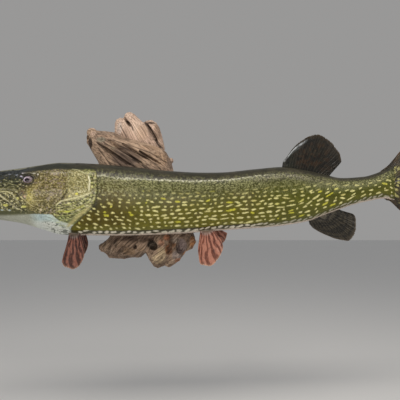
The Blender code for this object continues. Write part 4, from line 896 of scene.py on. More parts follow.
def head_paint(points, side, forms, inside):
    """The colours of the head."""
    x, y, z = points.T
    top, bottom = along(TOP_LINE, x), along(BELLY_LINE, x)
    h = np.clip((z - bottom) / (top - bottom), 0.0, 1.0)
    grain = rough(40, x * 330.0, z * 330.0, y * 330.0)
    cloud = rough(47, x * 60.0, z * 60.0, y * 60.0)
    level = h + .012 * cloud
    # a pale band along the top edge of the crown is a painted highlight
    rear = gradient(
        level,
        (.3, (72, 68, 26)), (.45, (84, 76, 36)), (.62, (90, 80, 42)), (.8, (84, 76, 42)),
        (.855, (70, 68, 40)), (.88, (44, 46, 38)), (.96, (40, 42, 36)), (.978, (100, 98, 82)),
        (1.0, (70, 68, 56)),
    )
    front = gradient(
        level,
        (.2, (84, 84, 52)), (.5, (100, 94, 52)), (.62, (66, 66, 36)), (.74, (44, 48, 34)),
        (.8, (44, 48, 48)), (.86, (52, 56, 60)), (.935, (48, 52, 54)), (.955, (120, 120, 104)),
        (1.0, (110, 110, 96)),
    )
    # the gill cover is greener than the cheek, and dark green behind its plate and on the gill's rays
    cover = ease(-.145, -.13, x) * ease(.042, .03, z)
    plate = outline_distance(forms.opercle, x, z)
    skirt = ease(.0002, .0022, plate) * ease(-.118, -.1, x) * ease(.042, .034, z)
    rays = ease(-.0015, -.005, above_rays(x, z)) * ease(-.172, -.155, x)
    colour = layered(
        mix(front, rear, ease(-.238, -.204, x)),
        ((126, 123, 76), .8 * cover),
        ((62, 68, 30), .85 * skirt),
        ((60, 66, 22), .9 * rays),
        ((178, 168, 84), .9 * spot(x, z, (-.215, -.021), (.0088, .014))),
        ((96, 68, 40), .7 * spot(x, z, (-.231, -.011), (.007, .0075))),
    )
    # the pale chin and throat
    over = z - along(CHIN_EDGE, x)
    soft = .0012 + .0024 * ease(-.215, -.25, x)
    below = ease(1.0, -1.0, (over + .0012 * grain) / soft)
    foot = ease(.015, .003, over) * ease(-.168, -.155, x) * (1.0 - below) * ease(-.5, .2, grain)
    # the dark band over the chin, the brow and the socket
    brow = np.hypot((x + .22) / .023, (z - .025) / .0105) + .15 * cloud
    socket = np.hypot((x + .2285) / .018, (z - .008) / .011)
    colour = layered(
        mix(colour, chin_paint(x, z, over), below),
        ((138, 148, 108), .75 * foot),
        ((64, 68, 42), .75 * bell(over, .0048, .0034) * ease(-.165, -.18, x)),
        ((44, 42, 34), .85 * ease(1.15, .75, brow) * ease(.01, .016, z)),
        ((62, 52, 32), .6 * ease(1.2, .7, socket)),
    )
    # flecks of light and dark
    cheek = ease(.22, .28, h) * ease(.885, .86, h) * (1.0 - below)
    rear_cheek = cheek * ease(-.232, -.212, x)
    snout = ease(-.215, -.235, x)
    lip = snout * ease(.18, .23, h) * ease(.6, .52, h) * (1.0 - below)
    kinds = (
        (.0036, (158, 146, 98), .4, .66, rear_cheek),
        (.0034, (184, 176, 134), .36, .6, rear_cheek),
        (.0038, (58, 54, 20), .44, .66, cheek),
        (.007, (136, 122, 116), .3, .55, cheek * ease(-.215, -.205, x) * ease(-.13, -.14, x)),
        (.0036, (200, 198, 160), .34, .62, cover * cheek),
        (.0052, (16, 20, 18), .42, .85, snout * ease(.5, .62, h)),
        (.004, (150, 148, 112), .3, .8, snout * ease(.5, .58, h) * ease(.84, .78, h)),
        (.005, (184, 192, 150), .3, .6, below * ease(-.178, -.168, x) * ease(-.018, -.01, over)),
        (.0046, (176, 180, 116), .34, .75, np.maximum(skirt, rays) * (1.0 - below)),
        (.0042, (190, 186, 142), .36, .9, lip),
        (.0042, (24, 26, 12), .4, .88, lip),
    )
    colour = flecked(colour, points, side, h, .35 + .65 * ease(1.0, 1.2, brow), kinds)
    colour = drawn(colour, x, z, grain)
    # a tan edge and a painted shadow at the rear of the gill cover, and a dark rim of painted shade round the
    # eye where the lid meets it
    edge = forms.gill_front(x, z)
    rim = bell(edge, .006, .0034) * ease(-.04, -.05, z) * ease(-.088, -.078, z)
    gill_edge_shadow = bell(edge, -.0004, .0016) * ease(.036, .024, z)
    colour = layered(colour, ((172, 164, 112), .85 * rim), ((40, 40, 18), .8 * gill_edge_shadow))
    colour = colour * (1.0 + .16 * grain + .08 * cloud)[..., None]
    colour = layered(colour, ((20, 20, 19), .9 * bell(eye_distance(x, z), 1.04, .11)))
    # behind the gill cover the head's own skin runs on as the body does
    behind = ease(0.0, -.0012, edge) + ease(-.15, -.125, x) * ease(.041, .047, z)
    colour = mix(colour, trunk_colours(points, side), np.clip(behind, 0.0, 1.0))
    # the mouth's lining
    return mix(colour, between((196, 168, 152), (150, 110, 98), ease(-.2, .5, cloud)), inside)


def shader_of(name):
    made = bpy.data.materials.new(name)
    made.use_nodes = True
    tree = made.node_tree
    return made, tree, tree.nodes["Principled BSDF"]


def painted(tree):
    """The colour painted on the mesh, and the place in the object."""
    paint = tree.nodes.new("ShaderNodeVertexColor")
    paint.layer_name = "paint"
    return paint.outputs["Color"], tree.nodes.new("ShaderNodeTexCoord").outputs["Object"]


def noise_node(tree, vector, scale, detail=3.0, roughness=.6):
    made = tree.nodes.new("ShaderNodeTexNoise")
    for name, number in (("Scale", scale), ("Detail", detail), ("Roughness", roughness)):
        made.inputs[name].default_value = number
    tree.links.new(vector, made.inputs["Vector"])
    return made.outputs["Fac"]


def ramp_node(tree, value, *stops):
    """Colours along a value, from (value, grey or colour) pairs."""
    made = tree.nodes.new("ShaderNodeValToRGB")
    ramp = made.color_ramp
    while len(ramp.elements) < len(stops):
        ramp.elements.new(.5)
    for element, (place, colour) in zip(ramp.elements, stops):
        element.position = place
        element.color = (*(colour if isinstance(colour, tuple) else (colour,) * 3), 1.0)
    tree.links.new(value, made.inputs["Fac"])
    return made.outputs["Color"]


def range_node(tree, value, to_low, to_high):
    """A noise's usual values, from 0.3 to 0.7, spread over another range."""
    made = tree.nodes.new("ShaderNodeMapRange")
    for name, number in (("From Min", .3), ("From Max", .7), ("To Min", to_low), ("To Max", to_high)):
        made.inputs[name].default_value = number
    tree.links.new(value, made.inputs["Value"])
    return made.outputs["Result"]


def mix_node(tree, blend, factor, a, b):
    made = tree.nodes.new("ShaderNodeMix")
    made.data_type = "RGBA"
    made.blend_type = blend
    if isinstance(factor, float):
        made.inputs["Factor"].default_value = factor
    else:
        tree.links.new(factor, made.inputs["Factor"])
    for socket, value in ((made.inputs[6], a), (made.inputs[7], b)):
        if isinstance(value, tuple):
            socket.default_value = (*value, 1.0)
        else:
            tree.links.new(value, socket)
    return made.outputs[2]


def tinted(tree, base, value, *stops):
    """A colour, lighter or darker along a value."""
    return mix_node(tree, "MULTIPLY", 1.0, base, ramp_node(tree, value, *stops))


def bump_node(tree, height, strength, distance, before=None):
    made = tree.nodes.new("ShaderNodeBump")
    made.inputs["Strength"].default_value = strength
    made.inputs["Distance"].default_value = distance
    tree.links.new(height, made.inputs["Height"])
    if before is not None:
        tree.links.new(before, made.inputs["Normal"])
    return made.outputs["Normal"]


def finish_coat(tree, shader, base, roughness, gloss, normal=None):
    """Sets the shader: its colour, its roughness, the gloss and coat over it, and its normal."""
    names = ("Specular IOR Level", "Coat Weight", "Coat Roughness", "Roughness", "Base Color", "Normal")
    for name, value in zip(names, (*gloss, roughness, base, normal)):
        if isinstance(value, float):
            shader.inputs[name].default_value = value
        elif value is not None:
            tree.links.new(value, shader.inputs[name])


def varnished(name, grain, rough_low, rough_high, coat, depth, speckle):
    """Painted skin under varnish: the colour of the mesh, finely mottled, with a grained gloss."""
    made, tree, shader = shader_of(name)
    paint, place = painted(tree)
    fine = noise_node(tree, place, grain)
    broad = noise_node(tree, place, grain * .13, 4.0)
    base = tinted(tree, paint, fine, (.3, 1.0 - speckle), (.7, 1.0 + speckle))
    base = tinted(tree, base, broad, (.32, (.86, .86, .84)), (.68, (1.12, 1.12, 1.1)))
    normal = bump_node(tree, broad, .35, depth * 3.0, bump_node(tree, fine, .3, depth))
    roughness = range_node(tree, broad, rough_low, rough_high)
    finish_coat(tree, shader, base, roughness, (.16, coat, .1), normal)
    return made


def fin_coat(name, blotch, dark, amount, scale):
    """A fin's web: the colour of the mesh, with cloudy blotches, under varnish."""
    made, tree, shader = shader_of(name)
    paint, place = painted(tree)
    cloud = noise_node(tree, place, scale, 4.0, .65)
    fine = noise_node(tree, place, 900.0, 2.0)
    base = paint
    for tint, stops in ((blotch, ((.5, 0.0), (.64, amount))), (dark, ((.32, .75), (.44, 0.0)))):
        base = mix_node(tree, "MIX", ramp_node(tree, cloud, *stops), base, tuple(srgb(*tint)))
    base = tinted(tree, base, fine, (.3, .82), (.7, 1.18))
    normal = bump_node(tree, fine, .3, .0005)
    finish_coat(tree, shader, base, range_node(tree, cloud, .3, .48), (.25, .2, .08), normal)
    return made


def eye_coat():
    made, tree, shader = shader_of("glass_eye")
    paint, place = painted(tree)
    fine = noise_node(tree, place, 700.0)
    base = tinted(tree, paint, fine, (.3, (.85, .84, .86)), (.7, (1.12, 1.12, 1.15)))
    finish_coat(tree, shader, base, .3, (.2, .25, .03))
    return made


def tooth_coat():
    made, tree, shader = shader_of("ivory_teeth")
    fine = noise_node(tree, tree.nodes.new("ShaderNodeTexCoord").outputs["Object"], 260.0)
    base = ramp_node(tree, fine, (.3, tuple(srgb(196, 184, 150))), (.7, tuple(srgb(228, 222, 204))))
    finish_coat(tree, shader, base, .28, (.5, .4, .03), bump_node(tree, fine, .2, .0003))
    return made


def wood_coat():
    """Dry weathered wood: streaks along the grain, dark cracks, pale worn edges."""
    made, tree, shader = shader_of("weathered_driftwood")
    paint, place = painted(tree)
    grain = tree.nodes.new("ShaderNodeAttribute")
    grain.attribute_name = "grain"
    streak = noise_node(tree, grain.outputs["Vector"], 1.0, 2.0, .5)
    fine = noise_node(tree, grain.outputs["Vector"], 3.2, 5.0, .7)
    spots = noise_node(tree, place, 240.0, 4.0, .7)
    base = paint
    for value, *stops in (
        (streak, (.38, (.46, .44, .43)), (.5, (.98, .97, .97)), (.66, (1.34, 1.33, 1.32))),
        (fine, (.36, (.62, .6, .58)), (.48, 1.0), (.7, (1.16, 1.15, 1.14))),
        (spots, (.35, (.82, .8, .78)), (.65, 1.1)),
    ):
        base = tinted(tree, base, value, *stops)
    normal = bump_node(tree, fine, .6, .001, bump_node(tree, streak, .7, .0022))
    normal = bump_node(tree, spots, .3, .0006, normal)
    finish_coat(tree, shader, base, range_node(tree, fine, .75, .95), (.25, 0.0, .03), normal)
    return made


# the skin
HEAD_STEP = .0013
HEAD_LOW = (-.385, -.235, -.108)
HEAD_HIGH = (-.064, -.06, .072)
HEAD_TIP = -.3688
TRUNK_START = -.105
TRUNK_RINGS = 170
TRUNK_SIDES = 96
TRUNK_SHADE = .8


def round_most(a, b, size):
    """The larger of two fields with its crease rounded."""
    share = np.clip(.5 + .5 * (a - b) / size, 0.0, 1.0)
    return b + (a - b) * share + size * share * (1.0 - share)


def egg(place, middle, half):
    """The rough distance to an egg's surface, negative inside."""
    far = np.sqrt(sum(((value - at) / size) ** 2 for value, at, size in zip(place, middle, half)))
    return (far - 1.0) * min(half)


def wide(flat):
    """A value of the side view, for every y of the head's grid."""
    return flat[:, None, :].astype(np.float32)


def tall(line):
    """A value along the fish, for every y and z of the head's grid."""
    return line[:, None, None].astype(np.float32)


def head_field(forms):
    """The head's distance field on its grid, and the same without the mouth and the eyes' sockets."""
    axes = [np.arange(low, high, HEAD_STEP) for low, high in zip(HEAD_LOW, HEAD_HIGH)]
    gx, gz = np.meshgrid(axes[0], axes[2], indexing="ij")
    place = [a.astype(np.float32) for a in np.meshgrid(*axes, indexing="ij", sparse=True)]
    x, y, z = place
    top, bottom = along(TOP_LINE, axes[0]), along(BELLY_LINE, axes[0])
    widest = bottom + (top - bottom) * along(WIDEST_SHARE, axes[0])
    across = y - wide(middle_y(gx, gz))
    far = np.abs(across)
    # ridges and a trough on the crown, with the far brow a little higher because the head is rolled
    crown = tall(ease(-.372, -.34, axes[0]) * ease(-.15, -.2, axes[0]))
    crown = crown * (.001 * bell(far, .02, .005) - .0016 * bell(across, 0.0, .01))
    brow = tall(ease(-.246, -.23, axes[0]) * ease(-.16, -.185, axes[0]))
    crown = crown + .0036 * brow * bell(across, .019, .0085)
    # the keel and folds of the throat
    throat = tall(ease(-.372, -.35, axes[0]) * ease(-.11, -.16, axes[0])) * (
        .0008 * bell(across, 0.0, .003)
        - .0016 * bell(far, .011, .0022)
        - .0012 * bell(far, .021, .002)
    )
    level = z - tall(widest)
    up = np.where(level > 0.0, (level - crown) / tall(top - widest), (level - throat) / tall(widest - bottom))
    exponent = np.where(level > 0.0, tall(along(CROWN_POWER, axes[0])), tall(along(BELLY_POWER, axes[0])))
    out = across / wide(along(HALF_WIDTH, gx) + head_relief(gx, gz) + forms.height(gx, gz))
    r = (np.abs(up) ** exponent + np.abs(out) ** exponent) ** (1.0 / exponent)
    field = np.hypot(across, level) * (1.0 - 1.0 / np.maximum(r, .05))
    steep = np.sqrt(sum(part * part for part in np.gradient(field, HEAD_STEP)))
    field = (field / np.clip(steep, .7, 3.0)).astype(np.float32)
    body = round_most(field, HEAD_TIP - x, .0012)
    # the open mouth, its lining and the tongue
    field = round_most(body, wide(-outline_distance(forms.mouth, gx, gz)), .0016)
    for at, half in ((THROAT_AT, THROAT_HALF), (FLOOR_AT, FLOOR_HALF)):
        field = round_most(field, -egg(place, in_middle(at), half), .0016)
    field = np.minimum(field, egg(place, in_middle(TONGUE_AT), TONGUE_HALF))
    # the eyes' sockets
    for sign in (-1.0, 1.0):
        field = round_most(field, -egg(place, eye_place(sign), [half + .0002 for half in EYE_HALF]), .0006)
    return axes, field, body


def build_skin(forms, coat):
    """The skin with the head's forms and the mouth's lining, and the trunk under the scales."""
    axes, field, body = head_field(forms)
    field[0], field[-1] = 1.0, 1.0
    origin = np.array([axis[0] for axis in axes])
    verts, quads = net(field, origin, HEAD_STEP)
    places = np.minimum(np.rint((verts - origin) / HEAD_STEP).astype(int), np.array(field.shape) - 1)
    inside = ease(-.0016, -.004, body[tuple(places.T)]) * (verts[:, 0] < -.235)
    side = np.where(verts[:, 1] > middle_y(verts[:, 0], verts[:, 2]), 1, -1)
    head = head_paint(verts, side, forms, inside)
    # the trunk, a hair under the head's skin where they overlap
    xs = np.linspace(TRUNK_START, TAIL_END_X - .0005, TRUNK_RINGS)
    turns = np.linspace(0.0, 2.0 * math.pi, TRUNK_SIDES + 1)[:-1]
    gx, gt = np.meshgrid(xs, turns, indexing="ij")
    trunk = body_point(gx, gt, grow=-.0007).reshape(-1, 3)
    side = np.where(np.sin(gt.ravel()) >= 0.0, -1, 1)
    start = len(verts)
    first = start + np.arange(TRUNK_SIDES)[None]
    caps = [first[:, ::-1], first + (TRUNK_RINGS - 1) * TRUNK_SIDES]
    faces = [quads, hoops(TRUNK_RINGS, TRUNK_SIDES, start), *caps]
    item = new_mesh("pike_skin", np.concatenate([verts, trunk]), faces)
    # the trunk's skin shows only between the scales, so it is painted darker as shade
    set_paint(item, np.concatenate([head, TRUNK_SHADE * trunk_colours(trunk, side)]), coat)
    turn_out(item)
    return item


# the scales
SCALE_ROWS = 86
SCALE_SIDES = 10
SCALE_PIECES = 6


def scale_shape():
    """One scale's points, as (back, across, height share), and its faces: a lens with a round rear."""
    points = [(.05, 0.0, 1.0)]
    for ring, height in ((.58, .86), (1.0, 0.0)):
        for k in range(SCALE_SIDES):
            turn = 2.0 * math.pi * k / SCALE_SIDES
            points.append((ring * math.cos(turn), ring * math.sin(turn), height))
    a = 1 + np.arange(SCALE_SIDES)
    b = 1 + a % SCALE_SIDES
    middle = np.stack([0 * a, a, b], axis=1)
    slope = np.stack([a, a + SCALE_SIDES, b + SCALE_SIDES, b], axis=1)
    under = (a + SCALE_SIDES)[None, ::-1]
    return np.array(points), (middle, slope, under)


def scale_places():
    """The x and turn of the middle of every scale on the trunk, and the pitch of the scales there."""
    draw = random.Random(5)
    places = []
    x = -.138
    ring = 0
    around = np.linspace(0.0, 2.0 * math.pi, 721)
    while x < .603:
        line = body_point(np.full(len(around), x), around)
        lengths = np.concatenate([[0.0], np.cumsum(np.linalg.norm(np.diff(line, axis=0), axis=1))])
        pitch = lengths[-1] / SCALE_ROWS
        for turn in np.interp((np.arange(SCALE_ROWS) + .5 * (ring % 2)) * pitch, lengths, around):
            step = draw.uniform(-.05, .05) * pitch
            places.append((x + step, turn + draw.uniform(-.02, .02) * .07, pitch))
        x += .6 * pitch * 1.04
        ring += 1
    return np.array(places)


def build_scales(forms, coat):
    """The scales in pieces, each scale a small patch of its own in the map named OFBake."""
    x, turn, pitch = scale_places().T
    z = body_point(x, turn)[:, 2]
    nape = (z > .044) & (x > -.135 + .9 * (.06 - z))
    keep = ((forms.gill_front(x, z) < .0002) | nape) & (x < .602)
    x, turn, pitch, z = x[keep], turn[keep], pitch[keep], z[keep]
    shape, faces = scale_shape()
    count, own = len(x), len(shape)
    draw = np.random.default_rng(9)
    size, lift, spin = (
        usual + spread * draw.standard_normal((count, 1)).clip(-2, 2)
        for usual, spread in ((1.0, .1), (1.0, .25), (0.0, .1))
    )
    # per turn, how far the skin goes round
    around = np.linalg.norm(body_point(x, turn + .01) - body_point(x, turn - .01), axis=1) / .02
    back, across = (part * shape[:, k] * pitch[:, None] * size for k, part in enumerate((.98, .66)))
    back, across = back + across * np.sin(spin), across - back * np.sin(spin) * .5
    # a pinch towards the root makes the exposed rear rounder
    across = across * (1.0 - .1 * (shape[:, 0] < -.3)) / np.maximum(around, .006)[:, None]
    rise = np.interp(shape[:, 0], [-1.0, -.2, .7, 1.0], [-.0006, .00005, .00042, .00046])
    rise = (rise * lift + .00022 * shape[:, 2]) * np.clip(pitch / .005, .5, 1.1)[:, None]
    verts = body_point(x[:, None] + back, turn[:, None] + across)
    verts = (verts + rise[..., None] * body_normal(x, turn)[:, None]).reshape(-1, 3)
    side = np.where(np.sin(turn) >= 0.0, -1, 1)
    colour = trunk_colours(verts, np.repeat(side, own)).reshape(count, own, 3)
    # each scale a little different, painted darker at its root as shade where the scale before covers it and
    # lighter at its rear, with a pale fleck at the rear of the upper ones, partly their own mark and partly a
    # painted glint
    top, bottom = along(TOP_LINE, x), along(BELLY_LINE, x)
    h = (z - bottom) / (top - bottom)
    tone = 1.0 + .1 * draw.standard_normal((count, 1)).clip(-2, 2)
    painted_shading = np.interp(shape[:, 0], [-1.0, 0.0, .75, 1.0], [.62, .9, 1.1, 1.0])
    fleck_and_glint = ease(.46, .6, h) * ease(.93, .86, h) * (draw.random(count) < .55)
    tip = ease(.35, .8, shape[:, 0]) * (np.abs(shape[:, 1]) < .75)
    colour = layered(colour * (tone * painted_shading)[..., None], ((142, 144, 100), .55 * fleck_and_glint[:, None] * tip))
    colour = colour.reshape(-1, 3)
    patch = np.stack([(x + .2) / .84, turn / (2.0 * math.pi)], axis=1)[:, None] + .0015 * shape[:, :2]
    patch = patch.reshape(-1, 2).astype(np.float32)
    pieces = []
    for part in range(SCALE_PIECES):
        first, end = part * count // SCALE_PIECES, (part + 1) * count // SCALE_PIECES
        points = slice(first * own, end * own)
        offsets = (np.arange(end - first) * own)[:, None, None]
        groups = [(group + offsets).reshape(-1, group.shape[1]) for group in faces]
        item = new_mesh(f"scales_{part}", verts[points], groups)
        set_paint(item, colour[points], coat)
        mesh = item.data
        uv = mesh.uv_layers.new(name="OFBake")
        corners = np.empty(len(mesh.loops), np.int32)
        mesh.loops.foreach_get("vertex_index", corners)
        uv.data.foreach_set("uv", patch[points][corners].ravel())
        mesh.set_sharp_from_angle(angle=math.radians(50.0))
        pieces.append(item)
    return pieces


# the fins
FIN_ROWS = 30
RAY_COLUMNS = 12
FIN_RIPPLE = .0012


def fan(line, shares):
    """The points at shares of the way along an open line, curved smoothly."""
    line = np.array(line)
    place = shares * (len(line) - 1)
    i = np.minimum(place.astype(int), len(line) - 2)
    near = (line[np.clip(i + k, 0, len(line) - 1)] for k in (-1, 0, 1, 2))
    return bent(*near, (place - i)[:, None])


def build_fin(node, depth, coat, paint, seed):
    """A fin with a raised, forking ray every few millimetres and a web between."""
    (root_a, root_b), tips, rays = FINS[node]
    columns = rays * RAY_COLUMNS + 1
    share = np.linspace(0.0, 1.0, columns)[:, None]
    way = np.linspace(0.0, 1.0, FIN_ROWS)
    start = np.array(root_a) + share * (np.array(root_b) - np.array(root_a))
    end = fan(tips, share[:, 0])
    c = share * rays
    fork, second = .26 * ease(.38, .75, way), .11 * ease(.7, .95, way)
    prongs = [a * fork + b * second for a in (-1.0, 1.0) for b in (-1.0, 1.0)]
    ridge = np.max([bell(c - np.rint(c), prong, .13 - .07 * way) for prong in prongs], axis=0)
    joints = .5 + .5 * np.cos(2.0 * math.pi * way * 26.0)
    web = noise(seed, c * .9, 0.0 * c)
    ragged = 1.0 - .03 * (1.0 - ridge[:, -1:]) * (.6 + .4 * web) - .008 * (web > .3)
    at = start[:, None, :] + (end - start)[:, None, :] * (way * ragged)[..., None]
    x, z = at[..., 0], at[..., 1]
    thick = FIN_ROOT_THICK + (FIN_TIP_THICK - FIN_ROOT_THICK) * way ** .7
    half = .36 * thick + (.00085 - .00045 * way) * ridge + .00008 * joints * ridge * ease(.3, .5, way)
    wave = FIN_RIPPLE * way ** 1.5 * np.sin(c * 1.3 + 2.2 * way + seed)
    wave = wave + .0004 * np.cos(2.0 * math.pi * c) * way
    middle = depth(x, z) + wave
    verts = [np.stack([x, middle + sign * half, z], axis=-1).reshape(-1, 3) for sign in (-1.0, 1.0)]
    index = np.arange(columns * FIN_ROWS).reshape(columns, FIN_ROWS)
    a = index[:-1, :-1].ravel()
    quads = np.stack([a, a + FIN_ROWS, a + FIN_ROWS + 1, a + 1], axis=1)
    rim = np.concatenate([index[:, 0], index[-1, 1:], index[-2::-1, -1], index[0, -2:0:-1]])
    after = np.roll(rim, -1)
    edge = np.stack([rim, after, after + index.size, rim + index.size], axis=1)
    item = new_mesh(node + "_rays", np.concatenate(verts), [quads, quads[:, ::-1] + index.size, edge])
    turn_out(item)
    colour = paint(way + 0.0 * c, share + 0.0 * way, ridge, x, z).reshape(-1, 3)
    set_paint(item, np.concatenate([colour, colour]), coat)
    item.data.set_sharp_from_angle(angle=math.radians(60.0))
    return item


def dark_fin_paint(way, share, ridge, x, z):
    """The dorsal fin: nearly black, brown specks in the middle, a broken highlight painted along the front
    edge.
    """
    speck = ease(.05, .35, noise(77, x * 170.0 + .5 * noise(3, x * 200, z * 200), z * 210.0))
    blotch = ease(0.0, .4, noise(79, x * 120.0, z * 120.0))
    # a painted highlight along the front edge and a fainter painted one behind it, both broken
    front = bell(way, .895, .03) * ease(0.0, .04, share) * ease(.38, .31, share)
    second = bell(way, .8, .02) * ease(.1, .16, share) * ease(.34, .26, share)
    broken = .45 + .55 * ease(-.5, .1, noise(81, share * 24.0, way * 9.0))
    return .74 * layered(
        gradient(
            way, (0.0, (30, 32, 18)), (.2, (18, 20, 12)), (.85, (14, 13, 9)), (.96, (32, 25, 15)),
            (1.0, (74, 56, 34)),
        ),
        ((70, 44, 20), (.06 + .6 * speck) * spot(share, way, (.5, .52), (.32, .36))),
        ((30, 36, 26), .6 * ease(.35, .1, share) * ease(.05, .2, way)),
        ((62, 58, 46), .5 * ridge * ease(.03, .12, way)),
        ((7, 7, 5), .65 * blotch * ease(.98, .9, way)),
        ((236, 244, 252), .95 * front * broken),
        ((110, 120, 124), .55 * second * broken),
    )


def grey_fin_paint(way, share, ridge, x, z):
    """The anal fin: dark grey with darker rows and a paler root."""
    turns = way * 5.0 + 1.2 * share + .8 * noise(81, share * 7.0, way * 4.0)
    spots = .5 + .5 * np.cos(2.0 * math.pi * turns)
    return .7 * layered(
        gradient(
            way, (0.0, (150, 142, 126)), (.12, (112, 106, 94)), (.3, (44, 40, 30)), (.8, (32, 28, 20)),
            (.96, (44, 38, 32)), (1.0, (110, 98, 84)),
        ),
        ((92, 84, 66), .55 * ridge),
        ((8, 7, 5), .8 * ease(.5, .9, spots) * ease(.98, .9, way)),
    )


def tail_paint(way, share, ridge, x, z):
    """The tail fin: brown with dark blotches, green at its root."""
    outer = np.clip(ease(.24, .08, share) + ease(.76, .92, share), 0.0, 1.0)
    blotch = ease(.02, .26, noise(79, x * 75.0 + .4 * noise(3, x * 200, z * 200), z * 75.0))
    far, own = freckles(35, x / .016, z / .0085)
    return layered(
        gradient(way, (0.0, (76, 78, 40)), (.25, (48, 44, 28)), (.75, (52, 40, 26)), (1.0, (92, 62, 38))),
        ((22, 24, 22), .75 * outer * ease(.04, .15, way)),
        ((104, 90, 62), .4 * ridge),
        ((28, 25, 18), .85 * blotch),
        ((186, 182, 116), .75 * ease(.42, .26, far) * ease(.45, .3, way) * (own > .3)),
    )


def red_fin_paint(way, share, ridge, x, z):
    """The pectoral and pelvic fins: reddish with dark bands, deeper in the pectoral fins."""
    deep = ease(0.0, -.05, x)
    colour = gradient(way, (0.0, (150, 150, 140)), (.08, (130, 112, 92)), (.22, (255, 255, 255)))
    colour = mix(colour, between((170, 116, 98), (148, 96, 82), deep), ease(.06, .22, way))
    wave = np.cos(2.0 * math.pi * (share * 6.5 + .36 * noise(83, share * 7.0, way * 4.0)))
    dark = ease(-.55, .3, wave + .75 * noise(85, share * 20.0, way * 9.0) - .1 + .3 * deep)
    dark = dark * ease(.04, .2, way)
    colour = mix(colour, between((88, 40, 28), (48, 16, 14), deep), .92 * dark)
    edge = .75 * ease(.955, .995, way)
    colour = layered(colour, ((206, 168, 142), edge), ((190, 140, 112), .12 * ridge))
    return colour * (.82 - .26 * deep)[..., None]


# eyes, teeth and wood
EYE_RINGS = 39
EYE_SIDES = 64
TOOTH_RINGS = 6
TOOTH_SIDES = 8
TOOTH_ROOT = .0026
# rim, number, from, to, inset, first and last height, up or down
TOOTH_ROWS = (
    (LOWER_RIM, 9, -.36, -.302, .0046, (.0045, .0095), 1.0),
    (LOWER_RIM, 12, -.362, -.3, .0074, (.0018, .003), 1.0),
    (UPPER_RIM, 16, -.358, -.2985, .0036, (.002, .0032), -1.0),
    (UPPER_RIM, 12, -.353, -.299, .014, (.005, .0036), -1.0),
    (UPPER_RIM, 10, -.345, -.298, .02, (.0036, .0028), -1.0),
)
WOOD_VOXEL = .0015


def eye_paint(local):
    """A pale iris and a dark pupil, which looks a little forwards and is pointed in front."""
    x, _, z = local.T
    dx, dz = x + .01, z + .02
    pupil = np.hypot(dx * np.where(dx < 0, .8, 1.0), dz)
    iris = np.hypot(x, z)
    streak = noise(23, np.arctan2(dz, dx) * 9.0, pupil * 6.0)
    colour = gradient(
        iris + .03 * streak, (.6, (150, 138, 150)), (.76, (132, 120, 128)), (.86, (70, 62, 62)),
        (.92, (20, 19, 18)), (1.0, (12, 12, 12)),
    )
    # the front of the iris is painted pale as a highlight, and its rear and lower part darker
    return layered(
        colour * (1.0 + .12 * streak)[:, None],
        ((206, 198, 214), .75 * ease(-.15, -.45, x) * ease(-.45, 0.0, z) * ease(.8, .7, iris)),
        ((104, 94, 96), .75 * ease(.1, .42, x) * ease(.8, .7, iris)),
        ((90, 80, 70), .7 * ease(-.28, -.55, z) * ease(.84, .74, iris)),
        ((120, 96, 84), .5 * bell(pupil, .42, .03)),
        ((20, 8, 24), ease(.425, .365, pupil)),
    )


def build_eye(name, sign, coat):
    """A glass eye: a bulging ball painted with a pale iris and a dark pupil."""
    turns = np.linspace(0.0, 2.0 * math.pi, EYE_SIDES + 1)[:-1]
    angles = np.linspace(0.0, math.pi, EYE_RINGS + 2)[1:-1]
    angle, turn = np.meshgrid(angles, turns, indexing="ij")
    ball = np.stack([np.sin(angle) * np.cos(turn), np.cos(angle), np.sin(angle) * np.sin(turn)], axis=-1)
    local = np.concatenate([[(0.0, 1.0, 0.0)], ball.reshape(-1, 3), [(0.0, -1.0, 0.0)]])
    local = local * np.array([1.0, sign, 1.0])
    k = np.arange(EYE_SIDES)
    after = (k + 1) % EYE_SIDES
    last = 1 + (EYE_RINGS - 1) * EYE_SIDES
    poles = [np.stack([0 * k, 1 + k, 1 + after], axis=1)]
    poles.append(np.stack([0 * k + len(local) - 1, last + after, last + k], axis=1))
    verts = np.array(eye_place(sign)) + local * np.array(EYE_HALF)
    item = new_mesh(name, verts, [*poles, hoops(EYE_RINGS, EYE_SIDES, 1)])
    turn_out(item)
    set_paint(item, eye_paint(local), coat)
    return item


def tooth_points(root, up, height, lean, width):
    """The rings of points of one tooth and its tip, which leans back."""
    points = []
    for t in np.arange(TOOTH_RINGS) / TOOTH_RINGS:
        radius = width * (1.0 - t) ** .8 + .00006
        middle = root + np.array([lean * t * t * height, 0.0, up * height * t])
        for k in range(TOOTH_SIDES):
            turn = 2.0 * math.pi * k / TOOTH_SIDES
            points.append(middle + radius * np.array([1.15 * math.cos(turn), math.sin(turn), 0.0]))
    points.append(root + np.array([lean * height, 0.0, up * height]))
    return points


